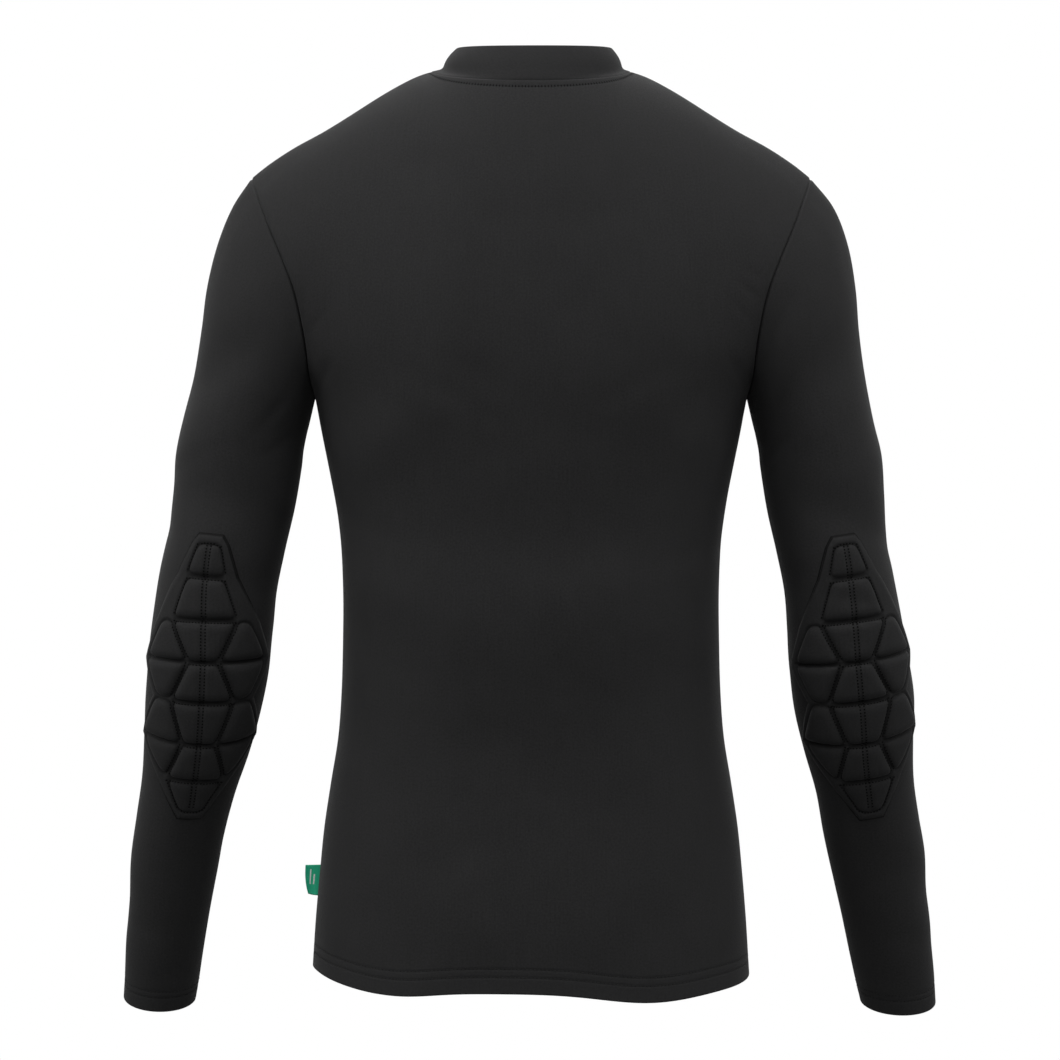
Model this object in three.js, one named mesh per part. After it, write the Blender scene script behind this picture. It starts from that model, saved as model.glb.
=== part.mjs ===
import * as THREE from "three";

// A long-sleeved compression shirt with a low mock neck and quilted elbow pads, filled out as
// when it is worn. Millimetres, +Z up. The front faces -Y and the wearer's left is at +X.
// The origin is in the middle of the neck, level with the foot of the collar.

// Walls and gaps
const JERSEY = 1.4;
const TURNED_EDGE = 2.6;
const COLLAR_WALL = 2.2;
const SEAM_GAP = 0.3;
const PAD_CLEARANCE = 0.8;

// Colours of the cloth, the foam pads and the label
const JERSEY_COLOUR = 0x2c2d2f;
const PAD_COLOUR = 0x242527;
const LABEL_COLOUR = 0x0b8f68;

// Body rings from the hem to the underarm: half the width at the side seams, and how far the
// back and the front stand out from the plane of the side seams
const BODY = [
  { z: -701, half: 170, back: 112, front: 108 },
  { z: -684, half: 169, back: 110.8, front: 107 },
  { z: -655, half: 167.2, back: 109, front: 106 },
  { z: -620, half: 164.4, back: 106, front: 104.5 },
  { z: -585, half: 161, back: 102.5, front: 103 },
  { z: -550, half: 155.8, back: 100, front: 102 },
  { z: -515, half: 150.2, back: 99.5, front: 102 },
  { z: -480, half: 147.6, back: 100.5, front: 103 },
  { z: -440, half: 146.5, back: 101.5, front: 105.5 },
  { z: -400, half: 146.3, back: 101, front: 109 },
  { z: -362, half: 148.2, back: 99.5, front: 112.5 },
  { z: -330, half: 152.6, back: 100.5, front: 115.5 },
  { z: -300, half: 158.5, back: 103.5, front: 117.5 },
  { z: -272, half: 164.2, back: 106.5, front: 118.5 },
  { z: -249, half: 168, back: 108.5, front: 119 },
];
const HEM = BODY[0];
const UNDERARM = BODY[BODY.length - 1];
const HEM_TURN = 17;
const BODY_POWER = 2.3; // 2 would be an ellipse, and more is squarer

// Where the hem hangs lower than its level line, as soft waves, and how it lifts to the side
// seams: at the right seam alone, and at the left one from that share of the half width on
const HEM_WAVES = [
  { face: 1, x: -94, wide: 54, drop: 8.2 },
  { face: 1, x: 100, wide: 34, drop: 3.6 },
  { face: -1, x: 62, wide: 60, drop: 4.5 },
  { face: -1, x: -84, wide: 46, drop: 2.5 },
];
const HEM_SIDE_LIFT = { right: 3, left: 9, leftFrom: 0.45 };
const HEM_WAVE_REACH = 90;

// Neckline ring and shoulder seam
const NECK = { half: 77, back: 62, front: 68, z: 3.6, backDrop: 14.6, frontDrop: 35.6 };
const SHOULDER = [
  { x: 77, z: 3.6 },
  { x: 90, z: -1 },
  { x: 114, z: -14.5 },
  { x: 137, z: -29 },
  { x: 160, z: -43 },
  { x: 184, z: -56 },
  { x: 204, z: -69 },
  { x: 218, z: -80 },
];
const SHOULDER_POINT = SHOULDER[SHOULDER.length - 1];

// Armhole seam, once round: up the back from the underarm, over the shoulder, down the front
const ARMHOLE = [
  { x: 168, y: 0, z: -249 },
  { x: 170.5, y: 38, z: -237 },
  { x: 173.5, y: 57, z: -208 },
  { x: 180.5, y: 62.5, z: -175 },
  { x: 191, y: 57.5, z: -147 },
  { x: 202.5, y: 44, z: -120.5 },
  { x: 212.5, y: 24, z: -95 },
  { x: 218, y: 0, z: -80 },
  { x: 209, y: -27, z: -95 },
  { x: 194.5, y: -49, z: -119 },
  { x: 180, y: -63, z: -146 },
  { x: 169.5, y: -67, z: -174 },
  { x: 166, y: -60, z: -207 },
  { x: 167, y: -40, z: -236 },
];

// Sleeve cap: rings that fan out round the underarm, from the inner to the outer side, whose
// place differs a little between the two arms
const CAP = [
  { innerX: 168, innerZ: -249, leftX: 218, rightX: 218, outerZ: -80, deep: 62 },
  { innerX: 169.6, innerZ: -254, leftX: 233, rightX: 236, outerZ: -103, deep: 61.5 },
  { innerX: 170.6, innerZ: -259, leftX: 244.5, rightX: 247, outerZ: -132, deep: 60.5 },
  { innerX: 171.8, innerZ: -265, leftX: 252.5, rightX: 252.9, outerZ: -165, deep: 59.5 },
  { innerX: 173.3, innerZ: -272, leftX: 256.8, rightX: 255.8, outerZ: -198, deep: 58 },
  { innerX: 175.4, innerZ: -281, leftX: 262.5, rightX: 260, outerZ: -232, deep: 56.5 },
  { innerX: 177.6, innerZ: -293, leftX: 270.8, rightX: 265.8, outerZ: -264, deep: 55 },
];

// Arm below the cap: rings square to the arm, with the middle's place and half the width for
// each arm, the middle's depth behind the side seams, and half the depth of the ring. The
// forearms bend forward a little at the elbow.
const ARM = [
  { z: -301, leftX: 228, leftHalf: 49.3, rightX: 226, rightHalf: 47.4, y: 1, deep: 53 },
  { z: -332, leftX: 231.5, leftHalf: 47.8, rightX: 229.5, rightHalf: 46, y: 3, deep: 51 },
  { z: -363, leftX: 237, leftHalf: 46, rightX: 234, rightHalf: 43.5, y: 5, deep: 49 },
  { z: -394, leftX: 243.4, leftHalf: 46.1, rightX: 239.5, rightHalf: 42.9, y: 6, deep: 47.5 },
  { z: -425, leftX: 247.2, leftHalf: 47, rightX: 243.6, rightHalf: 44.6, y: 6.5, deep: 47 },
  { z: -456, leftX: 250.8, leftHalf: 47.3, rightX: 247.2, rightHalf: 46.8, y: 5, deep: 46.5 },
  { z: -488, leftX: 255.6, leftHalf: 45.3, rightX: 252.1, rightHalf: 46.9, y: 0, deep: 45 },
  { z: -520, leftX: 261.2, leftHalf: 41.6, rightX: 256.2, rightHalf: 42.8, y: -7, deep: 42.5 },
  { z: -552, leftX: 268.3, leftHalf: 37.1, rightX: 261.8, rightHalf: 38.6, y: -16, deep: 39.5 },
  { z: -584, leftX: 275.5, leftHalf: 35.2, rightX: 267.6, rightHalf: 38.1, y: -25, deep: 37 },
  { z: -616, leftX: 281.6, leftHalf: 34.6, rightX: 274.7, rightHalf: 37.6, y: -34.5, deep: 35.2 },
  { z: -650, leftX: 287.1, leftHalf: 33, rightX: 280.8, rightHalf: 35.3, y: -45, deep: 33.2 },
  { z: -683, leftX: 291.2, leftHalf: 31, rightX: 285.8, rightHalf: 32.8, y: -55, deep: 31.5 },
  { z: -709, leftX: 294.2, leftHalf: 29.6, rightX: 290.4, rightHalf: 31.2, y: -62.8, deep: 30.2 },
  { z: -726.3, leftX: 296.5, leftHalf: 28.8, rightX: 293, rightHalf: 30.2, y: -68, deep: 29.4 },
];
const RIGHT_CUFF_DROP = 3; // the right arm reaches a little lower
const CUFF_TILT = { left: 3, right: -1 }; // degrees from level, the outer side up
const CUFF_TURN_ROWS = 1; // the last step of the table is the depth of the turned cuff

// Soft hollows (deep below zero) and swells of the body cloth: the middle, half the length and
// half the width, the turn from level, and the depth
const BODY_FOLDS = [
  { face: 1, x: 0, z: -330, long: 190, wide: 24, turn: 90, deep: -5 },
  { face: 1, x: 84, z: -190, long: 70, wide: 60, turn: 20, deep: 4 },
  { face: 1, x: -84, z: -190, long: 70, wide: 60, turn: -20, deep: 4 },
  { face: 1, x: 86, z: -305, long: 62, wide: 30, turn: 38, deep: -3.5 },
  { face: 1, x: -108, z: -300, long: 60, wide: 28, turn: -35, deep: -3.5 },
  { face: 1, x: 96, z: -455, long: 60, wide: 22, turn: 12, deep: -2.5 },
  { face: 1, x: -90, z: -470, long: 64, wide: 24, turn: -10, deep: -2.5 },
  { face: 1, x: 104, z: -628, long: 50, wide: 34, turn: 70, deep: 3.5 },
  { face: -1, x: 74, z: -215, long: 62, wide: 46, turn: 8, deep: 5 },
  { face: -1, x: -74, z: -215, long: 62, wide: 46, turn: -8, deep: 5 },
  { face: -1, x: 0, z: -300, long: 130, wide: 24, turn: 90, deep: -5 },
  { face: -1, x: 92, z: -330, long: 60, wide: 24, turn: 30, deep: -3 },
  { face: -1, x: -100, z: -345, long: 58, wide: 24, turn: -26, deep: -3 },
  { face: -1, x: 40, z: -520, long: 90, wide: 26, turn: -8, deep: -2.5 },
  { face: -1, x: -70, z: -610, long: 60, wide: 26, turn: 64, deep: 3 },
];

// The same for the sleeves: the place round the arm in degrees from the inner side by way of the
// back, the height, and which sleeve (1 is the left one)
const SLEEVE_FOLDS = [
  { side: 1, round: 118, z: -225, long: 52, wide: 24, turn: -35, deep: -3 },
  { side: -1, round: 112, z: -232, long: 48, wide: 22, turn: 32, deep: -3 },
  { side: 1, round: 100, z: -330, long: 46, wide: 24, turn: 16, deep: -3 },
  { side: -1, round: 104, z: -345, long: 46, wide: 22, turn: -20, deep: -3.5 },
  { side: 1, round: 270, z: -452, long: 46, wide: 17, turn: 8, deep: -5 },
  { side: -1, round: 272, z: -458, long: 46, wide: 17, turn: -8, deep: -5 },
  { side: 1, round: 280, z: -330, long: 46, wide: 24, turn: -20, deep: -3 },
  { side: -1, round: 268, z: -320, long: 46, wide: 24, turn: 22, deep: -3 },
  { side: 1, round: 205, z: -640, long: 40, wide: 22, turn: 24, deep: -2.5 },
  { side: -1, round: 150, z: -632, long: 40, wide: 22, turn: -24, deep: -2.5 },
];

// Collar band: half its size at the top, where it is folded, its swell between, and how it flares
// out to the shoulders at its foot: the share of its lean taken there, and how soon
const COLLAR_TOP = { half: 61, back: 50, front: 58, z: 21, backDrop: 4, frontDrop: 22, shift: -2.5 };
const COLLAR_SWELL = 1.2;
const COLLAR_FLARE = { share: 0.5, reach: 0.07, power: 1.8 };

// Quilted pad, laid flat: the distance from its top edge, then how far the groove beside the
// middle cell, the side cell's outer edge and the pad's outline lie from its middle line.
// A row of cells fills each step between two rows of this table that are marked as one band.
const PAD_ROWS = [
  { at: 0, groove: 8, side: 9, edge: 10, band: 0 },
  { at: 8, groove: 9, side: 12, edge: 15.5, band: 1 },
  { at: 33, groove: 15, side: 21, edge: 26, band: 1 },
  { at: 34, groove: 15, side: 22, edge: 27, band: 2 },
  { at: 66, groove: 24.5, side: 35, edge: 46, band: 2 },
  { at: 67, groove: 24.5, side: 35.5, edge: 47, band: 3 },
  { at: 98, groove: 11.5, side: 52, edge: 62, band: 3 },
  { at: 99, groove: 11.5, side: 52.5, edge: 62, band: 4 },
  { at: 129, groove: 23, side: 37.5, edge: 45, band: 4 },
  { at: 130, groove: 23, side: 39, edge: 46, band: 5 },
  { at: 163, groove: 12.5, side: 52, edge: 60, band: 5 },
  { at: 164, groove: 12.5, side: 50, edge: 58, band: 6 },
  { at: 193, groove: 21, side: 24, edge: 33, band: 6 },
  { at: 194, groove: 20.5, side: 24, edge: 32, band: 7 },
  { at: 221, groove: 9, side: 12, edge: 14, band: 7 },
  { at: 228, groove: 7.5, side: 8.5, edge: 9.5, band: 0 },
];
const PAD = { topZ: -358, edge: 1.8, groove: 1.8, cell: 6, sideCell: 5.4, slope: 3.2, walk: 0.02 };
const PAD_SIDE_BANDS = [3, 4, 5, 6];
// The side cells' shoulders and middle, as shares of the way from the groove to their outer edge
const SIDE_CELL = { inner: 0.25, middle: 0.52, outer: 0.8 };
// How far the pad's middle line lies outwards of the sleeve's middle, in degrees round the arm
const PAD_TURN = { 1: { top: 11, foot: -14 }, [-1]: { top: 8, foot: -3 } };

// Loop label in the left side seam: how far it stands out, and how its fold tapers
const LABEL = { top: -615, foot: -639, out: 12.5, half: 0.6, foldHalf: 0.18, fold: 0.6 };

// How the panels' rows run: the power by which they crowd at the underarm and the top, how far
// they roll over to level at the shoulder seam and at the neck, how wide that change is in
// neck widths, and the power by which the armhole's pull on them dies away from it
const ROW_CROWD = 1.5;
const ROLL = { shoulder: 0.5, neck: 0.2, reach: 1.3 };
const ARMHOLE_PULL = 3;

// Folds fade out over these shares of a panel's half width and height, and these sleeve rings
const FADE = { side: 0.2, top: 0.25, armhole: 4, cuff: 1.5 };

// Mesh steps
const NECK_STEPS = 10;
const SHOULDER_STEPS = 6;
const PANEL_STEPS = NECK_STEPS + 2 * SHOULDER_STEPS;
const BODY_STEPS = 14;
const ARMHOLE_STEPS = 10;
const COLLAR_ROWS = [0, 0.12, 0.4, 0.7, 1];
const DERIVATIVE_STEP = 0.001;
const SAME_POINT = 0.01;

const quarter = Math.PI / 2;
const radians = (degrees) => (degrees * Math.PI) / 180;
const mix = (a, b, t) => a + (b - a) * t;
const clamp = (t) => Math.min(1, Math.max(0, t));
const smoothstep = (t) => clamp(t) ** 2 * (3 - 2 * clamp(t));
const signedPower = (value, power) => Math.sign(value) * Math.abs(value) ** power;

// A smooth curve through one column of a table, read at a place in another column
function column(table, key, at, name) {
  const last = table.length - 1;
  const rising = table[last][key] > table[0][key];
  let i = 0;
  while (i < last - 1 && (rising ? table[i + 1][key] < at : table[i + 1][key] > at)) i += 1;
  const slope = (k) => {
    const low = table[Math.max(0, k - 1)];
    const high = table[Math.min(last, k + 1)];
    return (high[name] - low[name]) / (high[key] - low[key]);
  };
  const [a, b] = [table[i], table[i + 1]];
  const span = b[key] - a[key];
  const t = clamp((at - a[key]) / span);
  return (
    a[name] * (1 + 2 * t) * (1 - t) ** 2 +
    slope(i) * span * t * (1 - t) ** 2 +
    b[name] * t * t * (3 - 2 * t) +
    slope(i + 1) * span * t * t * (t - 1)
  );
}

// The armhole seam at a share of the way round, from the underarm by way of the back
const armholeCurve = new THREE.CatmullRomCurve3(
  ARMHOLE.map((row) => new THREE.Vector3(row.x, row.y, row.z)),
  true,
  "catmullrom",
);
const armhole = (share) => armholeCurve.getPoint(((share % 1) + 1) % 1);

// The neckline ring at an angle from the left neck point by way of the back
function neckline(angle) {
  const away = Math.sin(angle);
  const depth = away > 0 ? NECK.back : NECK.front;
  const drop = away > 0 ? NECK.backDrop : NECK.frontDrop;
  return new THREE.Vector3(
    NECK.half * Math.cos(angle),
    depth * away,
    NECK.z - drop * Math.abs(away),
  );
}

// A body ring: face is 1 on the back and -1 on the front, and across runs from -1 to 1
function bodyRing(face, across, z) {
  const half = column(BODY, "z", z, "half");
  const depth = column(BODY, "z", z, face > 0 ? "back" : "front");
  return new THREE.Vector3(
    half * signedPower(Math.sin(across * quarter), 2 / BODY_POWER),
    face * depth * Math.abs(Math.cos(across * quarter)) ** (2 / BODY_POWER),
    z,
  );
}

// The top edge of a panel: the neckline in the middle and a shoulder seam on each side
const neckShare = NECK_STEPS / PANEL_STEPS;
function topEdge(face, across) {
  const side = Math.abs(across);
  if (side <= neckShare) return neckline(face * quarter - (face * quarter * across) / neckShare);
  const x = mix(NECK.half, SHOULDER_POINT.x, (side - neckShare) / (1 - neckShare));
  return new THREE.Vector3(Math.sign(across) * x, 0, column(SHOULDER, "x", x, "z"));
}

function hemDrop(face, across, x) {
  const side = across ** 8;
  const waves = HEM_WAVES.filter((wave) => wave.face === face);
  const drop = (wave) => wave.drop * Math.exp(-(((x - wave.x) / wave.wide) ** 2));
  const lift =
    across < 0
      ? side * HEM_SIDE_LIFT.right
      : HEM_SIDE_LIFT.left *
        smoothstep((across - HEM_SIDE_LIFT.leftFrom) / (1 - HEM_SIDE_LIFT.leftFrom));
  return lift - (1 - side) * waves.reduce((sum, wave) => sum + drop(wave), 0);
}

// A panel's smooth surface: up runs from 0 at the hem, by 1 at the underarm, to 2 at the top
function panelSurface(face, across, up) {
  if (up <= 1) {
    const z = mix(HEM.z, UNDERARM.z, up);
    const point = bodyRing(face, across, z);
    const reach = smoothstep(1 - (z - HEM.z) / HEM_WAVE_REACH);
    point.z += hemDrop(face, across, point.x) * reach;
    return point;
  }
  const share = up - 1;
  const low = bodyRing(face, across, UNDERARM.z);
  const high = topEdge(face, across);
  // Near the shoulder seam the cloth rolls over to level, and at the neck it stays steep
  const roll = mix(ROLL.neck, ROLL.shoulder, smoothstep(Math.abs(across) / neckShare / ROLL.reach));
  const climb = share ** ROW_CROWD;
  const rise = (r) => (1 + r) * climb - r * climb ** 3;
  const inward = Math.cos(climb * quarter);
  const point = new THREE.Vector3(
    mix(low.x, high.x, climb),
    mix(high.y, low.y, inward),
    mix(low.z, high.z, rise(roll)),
  );
  // The armhole draws the rows' ends to itself
  const seam = armhole(face > 0 ? share / 2 : 1 - share / 2);
  const pull = Math.abs(across) ** ARMHOLE_PULL;
  const side = Math.sign(across);
  point.x += pull * side * (seam.x - mix(UNDERARM.half, SHOULDER_POINT.x, climb));
  point.y += pull * seam.y;
  point.z += pull * (seam.z - mix(UNDERARM.z, SHOULDER_POINT.z, rise(ROLL.shoulder)));
  return point;
}

// The rings of one sleeve, as the middle, half the width and half the depth of each ellipse
function sleeveRings(side) {
  const name = side > 0 ? "left" : "right";
  const rings = CAP.map((row) => {
    const inner = new THREE.Vector3(row.innerX, 0, row.innerZ);
    const outer = new THREE.Vector3(row[name + "X"], 0, row.outerZ);
    return {
      middle: inner.clone().add(outer).divideScalar(2),
      wide: outer.clone().sub(inner).divideScalar(2),
      deep: new THREE.Vector3(0, row.deep, 0),
    };
  });
  const middles = ARM.map((row, i) => {
    const drop = side < 0 ? (RIGHT_CUFF_DROP * i) / (ARM.length - 1) : 0;
    return new THREE.Vector3(row[name + "X"], row.y, row.z - drop);
  });
  ARM.forEach((row, i) => {
    const before = middles[Math.max(0, i - 1)];
    const after = middles[Math.min(ARM.length - 1, i + 1)];
    const axis = after.clone().sub(before).normalize();
    const tilt = radians(CUFF_TILT[name]);
    const wide =
      i === ARM.length - 1
        ? new THREE.Vector3(Math.cos(tilt), 0, Math.sin(tilt))
        : new THREE.Vector3(-axis.z, 0, axis.x).normalize();
    const deep = wide.clone().cross(axis).normalize();
    rings.push({
      middle: middles[i],
      wide: wide.multiplyScalar(row[name + "Half"]),
      deep: deep.multiplyScalar(Math.sign(deep.y) * row.deep),
    });
  });
  return rings.map((ring, i) => {
    const row = { at: i };
    for (const part of ["middle", "wide", "deep"])
      for (const axis of ["x", "y", "z"]) row[part + axis] = ring[part][axis];
    return row;
  });
}
const SLEEVE = { 1: sleeveRings(1), [-1]: sleeveRings(-1) };
const SLEEVE_ROWS = CAP.length + ARM.length - 1;

// A sleeve's smooth surface: along counts its rings from the armhole, and round is the angle
// from the inner side by way of the back
function sleeveSurface(side, round, along) {
  const read = (part) => {
    const value = (axis) => column(SLEEVE[side], "at", along, part + axis);
    return new THREE.Vector3(value("x"), value("y"), value("z"));
  };
  const ellipse = (part) =>
    part("middle")
      .addScaledVector(part("wide"), -Math.cos(round))
      .addScaledVector(part("deep"), Math.sin(round));
  const point = ellipse(read);
  const first = SLEEVE[side][0];
  const start = ellipse(
    (part) => new THREE.Vector3(first[part + "x"], first[part + "y"], first[part + "z"]),
  );
  const seam = armhole(round / (4 * quarter));
  point.addScaledVector(seam.sub(start), smoothstep(1 - along / (CAP.length - 1)));
  point.x *= side;
  return point;
}

// The unit normal of a smooth surface that is given by two numbers, and its folded point
function normalOf(surface, a, b, outward) {
  const step = DERIVATIVE_STEP;
  const da = surface(a + step, b).sub(surface(a - step, b));
  const db = surface(a, b + step).sub(surface(a, b - step));
  return da.cross(db).normalize().multiplyScalar(outward);
}

function foldDepth(folds, first, second) {
  return folds.reduce((sum, fold) => {
    const turn = radians(fold.turn);
    const [dx, dz] = [first(fold), second - fold.z];
    const along = (dx * Math.cos(turn) + dz * Math.sin(turn)) / fold.long;
    const over = (dz * Math.cos(turn) - dx * Math.sin(turn)) / fold.wide;
    return sum + fold.deep * Math.exp(-(along ** 2) - over ** 2);
  }, 0);
}

// Folds fade out at the seams, so that the pieces still meet there
function panelPoint(face, across, up) {
  const point = panelSurface(face, across, up);
  const fade =
    smoothstep((1 - Math.abs(across)) / FADE.side) * smoothstep((2 - up) / FADE.top);
  if (fade === 0) return point;
  const folds = BODY_FOLDS.filter((fold) => fold.face === face);
  const deep = fade * foldDepth(folds, (fold) => point.x - fold.x, point.z);
  const smooth = (a, b) => panelSurface(face, a, b);
  return point.addScaledVector(normalOf(smooth, across, Math.max(up, DERIVATIVE_STEP), -face), deep);
}

function sleevePoint(side, round, along) {
  const point = sleeveSurface(side, round, along);
  const fade =
    smoothstep(along / FADE.armhole) * smoothstep((SLEEVE_ROWS - along) / FADE.cuff);
  if (fade === 0) return point;
  const folds = SLEEVE_FOLDS.filter((fold) => fold.side === side);
  const radius = column(SLEEVE[side], "at", along, "deepy");
  const around = (fold) => {
    const apart = radians(fold.round) - round;
    return -radius * Math.atan2(Math.sin(apart), Math.cos(apart));
  };
  const deep = fade * foldDepth(folds, around, point.z);
  const smooth = (a, b) => sleeveSurface(side, a, b);
  const inside = Math.min(along, SLEEVE_ROWS - DERIVATIVE_STEP);
  return point.addScaledVector(normalOf(smooth, round, inside, side), deep);
}

// A grid of points, one row after another, with rows that close on themselves where it wraps
function gridOf(rows, places, wraps, point) {
  return { wraps, points: rows.map((row) => places.map((place) => point(place, row))) };
}

const steps = (count, from, to) =>
  Array.from({ length: count + 1 }, (_, i) => mix(from, to, i / count));

const panelRows = [
  0,
  HEM_TURN / (UNDERARM.z - HEM.z),
  ...steps(BODY_STEPS, HEM_TURN / (UNDERARM.z - HEM.z), 1).slice(1),
  ...steps(ARMHOLE_STEPS, 1, 2).slice(1),
];
const aroundSleeve = steps(2 * ARMHOLE_STEPS, 0, 4 * quarter).slice(0, -1);

// The collar's outside from the neckline, at 0, to the fold at its top, at 1
function collarPoint(angle, up) {
  const foot = neckline(angle);
  const away = Math.sin(angle);
  const top = new THREE.Vector3(
    COLLAR_TOP.half * Math.cos(angle) + COLLAR_TOP.shift,
    (away > 0 ? COLLAR_TOP.back : COLLAR_TOP.front) * away,
    COLLAR_TOP.z - (away > 0 ? COLLAR_TOP.backDrop : COLLAR_TOP.frontDrop) * Math.abs(away),
  );
  const { share, reach, power } = COLLAR_FLARE;
  const flare = share * (1 - Math.exp(-up / reach)) + (1 - share) * up ** power;
  const lean = mix(up, flare, Math.cos(angle) ** 2);
  const swell = COLLAR_SWELL * 4 * up * (1 - up);
  const out = new THREE.Vector3(Math.cos(angle), away, 0).normalize();
  return new THREE.Vector3(
    mix(foot.x, top.x, lean),
    mix(foot.y, top.y, lean),
    mix(foot.z, top.z, up),
  ).addScaledVector(out, swell);
}

const seamed = {
  back_panel: gridOf(panelRows, steps(PANEL_STEPS, -1, 1), false, (a, b) => panelPoint(1, a, b)),
  front_panel: gridOf(panelRows, steps(PANEL_STEPS, -1, 1), false, (a, b) => panelPoint(-1, a, b)),
  sleeve_left: gridOf(steps(SLEEVE_ROWS, 0, SLEEVE_ROWS), aroundSleeve, true, (a, b) =>
    sleevePoint(1, a, b)),
  sleeve_right: gridOf(steps(SLEEVE_ROWS, 0, SLEEVE_ROWS), aroundSleeve, true, (a, b) =>
    sleevePoint(-1, a, b)),
  collar: gridOf(COLLAR_ROWS, steps(2 * NECK_STEPS, 0, 4 * quarter).slice(0, -1),
    true, collarPoint),
};
// Which way da x db points on each grid
const OUTWARD = { back_panel: -1, front_panel: 1, sleeve_left: 1, sleeve_right: -1, collar: 1 };

// Vertex normals of a grid, from its own points
function gridNormals(grid, outward) {
  const { points, wraps } = grid;
  const [rows, places] = [points.length, points[0].length];
  const at = (r, c) => {
    const row = points[Math.min(rows - 1, Math.max(0, r))];
    return row[wraps ? (c + places) % places : Math.min(places - 1, Math.max(0, c))];
  };
  return points.map((row, r) =>
    row.map((_, c) => {
      const across = at(r, c + 1).clone().sub(at(r, c - 1));
      const up = at(r + 1, c).clone().sub(at(r - 1, c));
      return across.cross(up).normalize().multiplyScalar(outward);
    }),
  );
}

// The edges of a grid, each as a list of its places in order, closed on itself
function gridLoops(grid) {
  const { points, wraps } = grid;
  const [rows, places] = [points.length, points[0].length];
  const line = (count, place) => Array.from({ length: count }, (_, i) => place(i));
  if (wraps) return [line(places, (c) => [0, c]), line(places, (c) => [rows - 1, c])];
  return [
    [
      ...line(places - 1, (c) => [0, c]),
      ...line(rows - 1, (r) => [r, places - 1]),
      ...line(places - 1, (c) => [rows - 1, places - 1 - c]),
      ...line(rows - 1, (r) => [rows - 1 - r, 0]),
    ],
  ];
}

// Pieces that share a seam start from the same points. Each is then drawn back by half the
// seam's gap, square to the seam, and further where two pieces fold flat against each other.
function openSeams(pieces) {
  const edges = [];
  for (const [name, grid] of Object.entries(pieces)) {
    grid.normals = gridNormals(grid, OUTWARD[name]);
    for (const [r, c] of gridLoops(grid).flat())
      edges.push({ name, point: grid.points[r][c].clone(), normal: grid.normals[r][c].clone() });
  }
  for (const [name, grid] of Object.entries(pieces)) {
    const original = grid.points.map((row) => row.map((point) => point.clone()));
    const own = grid.normals.map((row) => row.map((normal) => normal.clone()));
    const [rows, places] = [original.length, original[0].length];
    const others = ([r, c]) =>
      edges.filter(
        (edge) => edge.name !== name && edge.point.distanceTo(original[r][c]) < SAME_POINT,
      );
    const inner = ([r, c]) => {
      const rowIn = r === 0 ? 1 : r === rows - 1 ? rows - 2 : r;
      if (grid.wraps) return original[rowIn][c];
      const columnIn = c === 0 ? 1 : c === places - 1 ? places - 2 : c;
      return original[rowIn][columnIn];
    };
    for (const loop of gridLoops(grid)) {
      const count = loop.length;
      const squareIn = (i) => {
        const [a, b] = [loop[i % count], loop[(i + 1) % count]];
        if (!others(a).length || !others(b).length) return null;
        const [start, end] = [original[a[0]][a[1]], original[b[0]][b[1]]];
        const edge = end.clone().sub(start).normalize();
        const inward = inner(a).clone().add(inner(b)).sub(start).sub(end);
        const normal = own[a[0]][a[1]].clone().add(own[b[0]][b[1]]).normalize();
        return inward
          .addScaledVector(edge, -inward.dot(edge))
          .addScaledVector(normal, -inward.dot(normal))
          .normalize();
      };
      loop.forEach((place, i) => {
        const sides = [squareIn(i + count - 1), squareIn(i)].filter(Boolean);
        if (!sides.length) return;
        const [r, c] = place;
        const point = grid.points[r][c];
        const normal = own[r][c];
        const back = sides[0].clone();
        if (sides.length === 2) back.add(sides[1]).divideScalar(1 + sides[0].dot(sides[1]));
        point.addScaledVector(back, SEAM_GAP / 2);
        const facing = others(place).map((entry) => entry.normal);
        const folded = Math.min(1, ...facing.map((other) => other.dot(normal)));
        point.addScaledVector(normal, (-SEAM_GAP / 2) * ((1 - folded) / 2));
        const joined = normal.clone();
        facing.filter((other) => other.dot(normal) > 0.5).forEach((other) => joined.add(other));
        grid.normals[r][c] = joined.normalize();
      });
    }
  }
}

// A closed wall between two grids of points that lie over each other, with rims on its edges
function wallGeometry(outer, inner, wraps, outward) {
  const [rows, places] = [outer.length, outer[0].length];
  const positions = [...outer.flat(), ...inner.flat()].flatMap((point) => point.toArray());
  const outerAt = (r, c) => r * places + (c % places);
  const innerAt = (r, c) => rows * places + outerAt(r, c);
  const faces = [];
  const quad = (a, b, c, d) => {
    const corners = outward > 0 ? [a, b, c, d] : [a, d, c, b];
    faces.push(corners[0], corners[1], corners[2], corners[0], corners[2], corners[3]);
  };
  const lastPlace = wraps ? places : places - 1;
  for (let r = 0; r < rows - 1; r += 1)
    for (let c = 0; c < lastPlace; c += 1) {
      quad(outerAt(r, c), outerAt(r, c + 1), outerAt(r + 1, c + 1), outerAt(r + 1, c));
      quad(innerAt(r, c), innerAt(r + 1, c), innerAt(r + 1, c + 1), innerAt(r, c + 1));
    }
  for (let c = 0; c < lastPlace; c += 1) {
    quad(outerAt(0, c), innerAt(0, c), innerAt(0, c + 1), outerAt(0, c + 1));
    quad(outerAt(rows - 1, c), outerAt(rows - 1, c + 1), innerAt(rows - 1, c + 1),
      innerAt(rows - 1, c));
  }
  if (!wraps)
    for (let r = 0; r < rows - 1; r += 1) {
      quad(outerAt(r, 0), outerAt(r + 1, 0), innerAt(r + 1, 0), innerAt(r, 0));
      quad(outerAt(r, lastPlace), innerAt(r, lastPlace), innerAt(r + 1, lastPlace),
        outerAt(r + 1, lastPlace));
    }
  const geometry = new THREE.BufferGeometry();
  geometry.setAttribute("position", new THREE.Float32BufferAttribute(positions, 3));
  geometry.setIndex(faces);
  geometry.computeVertexNormals();
  return geometry;
}

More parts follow.
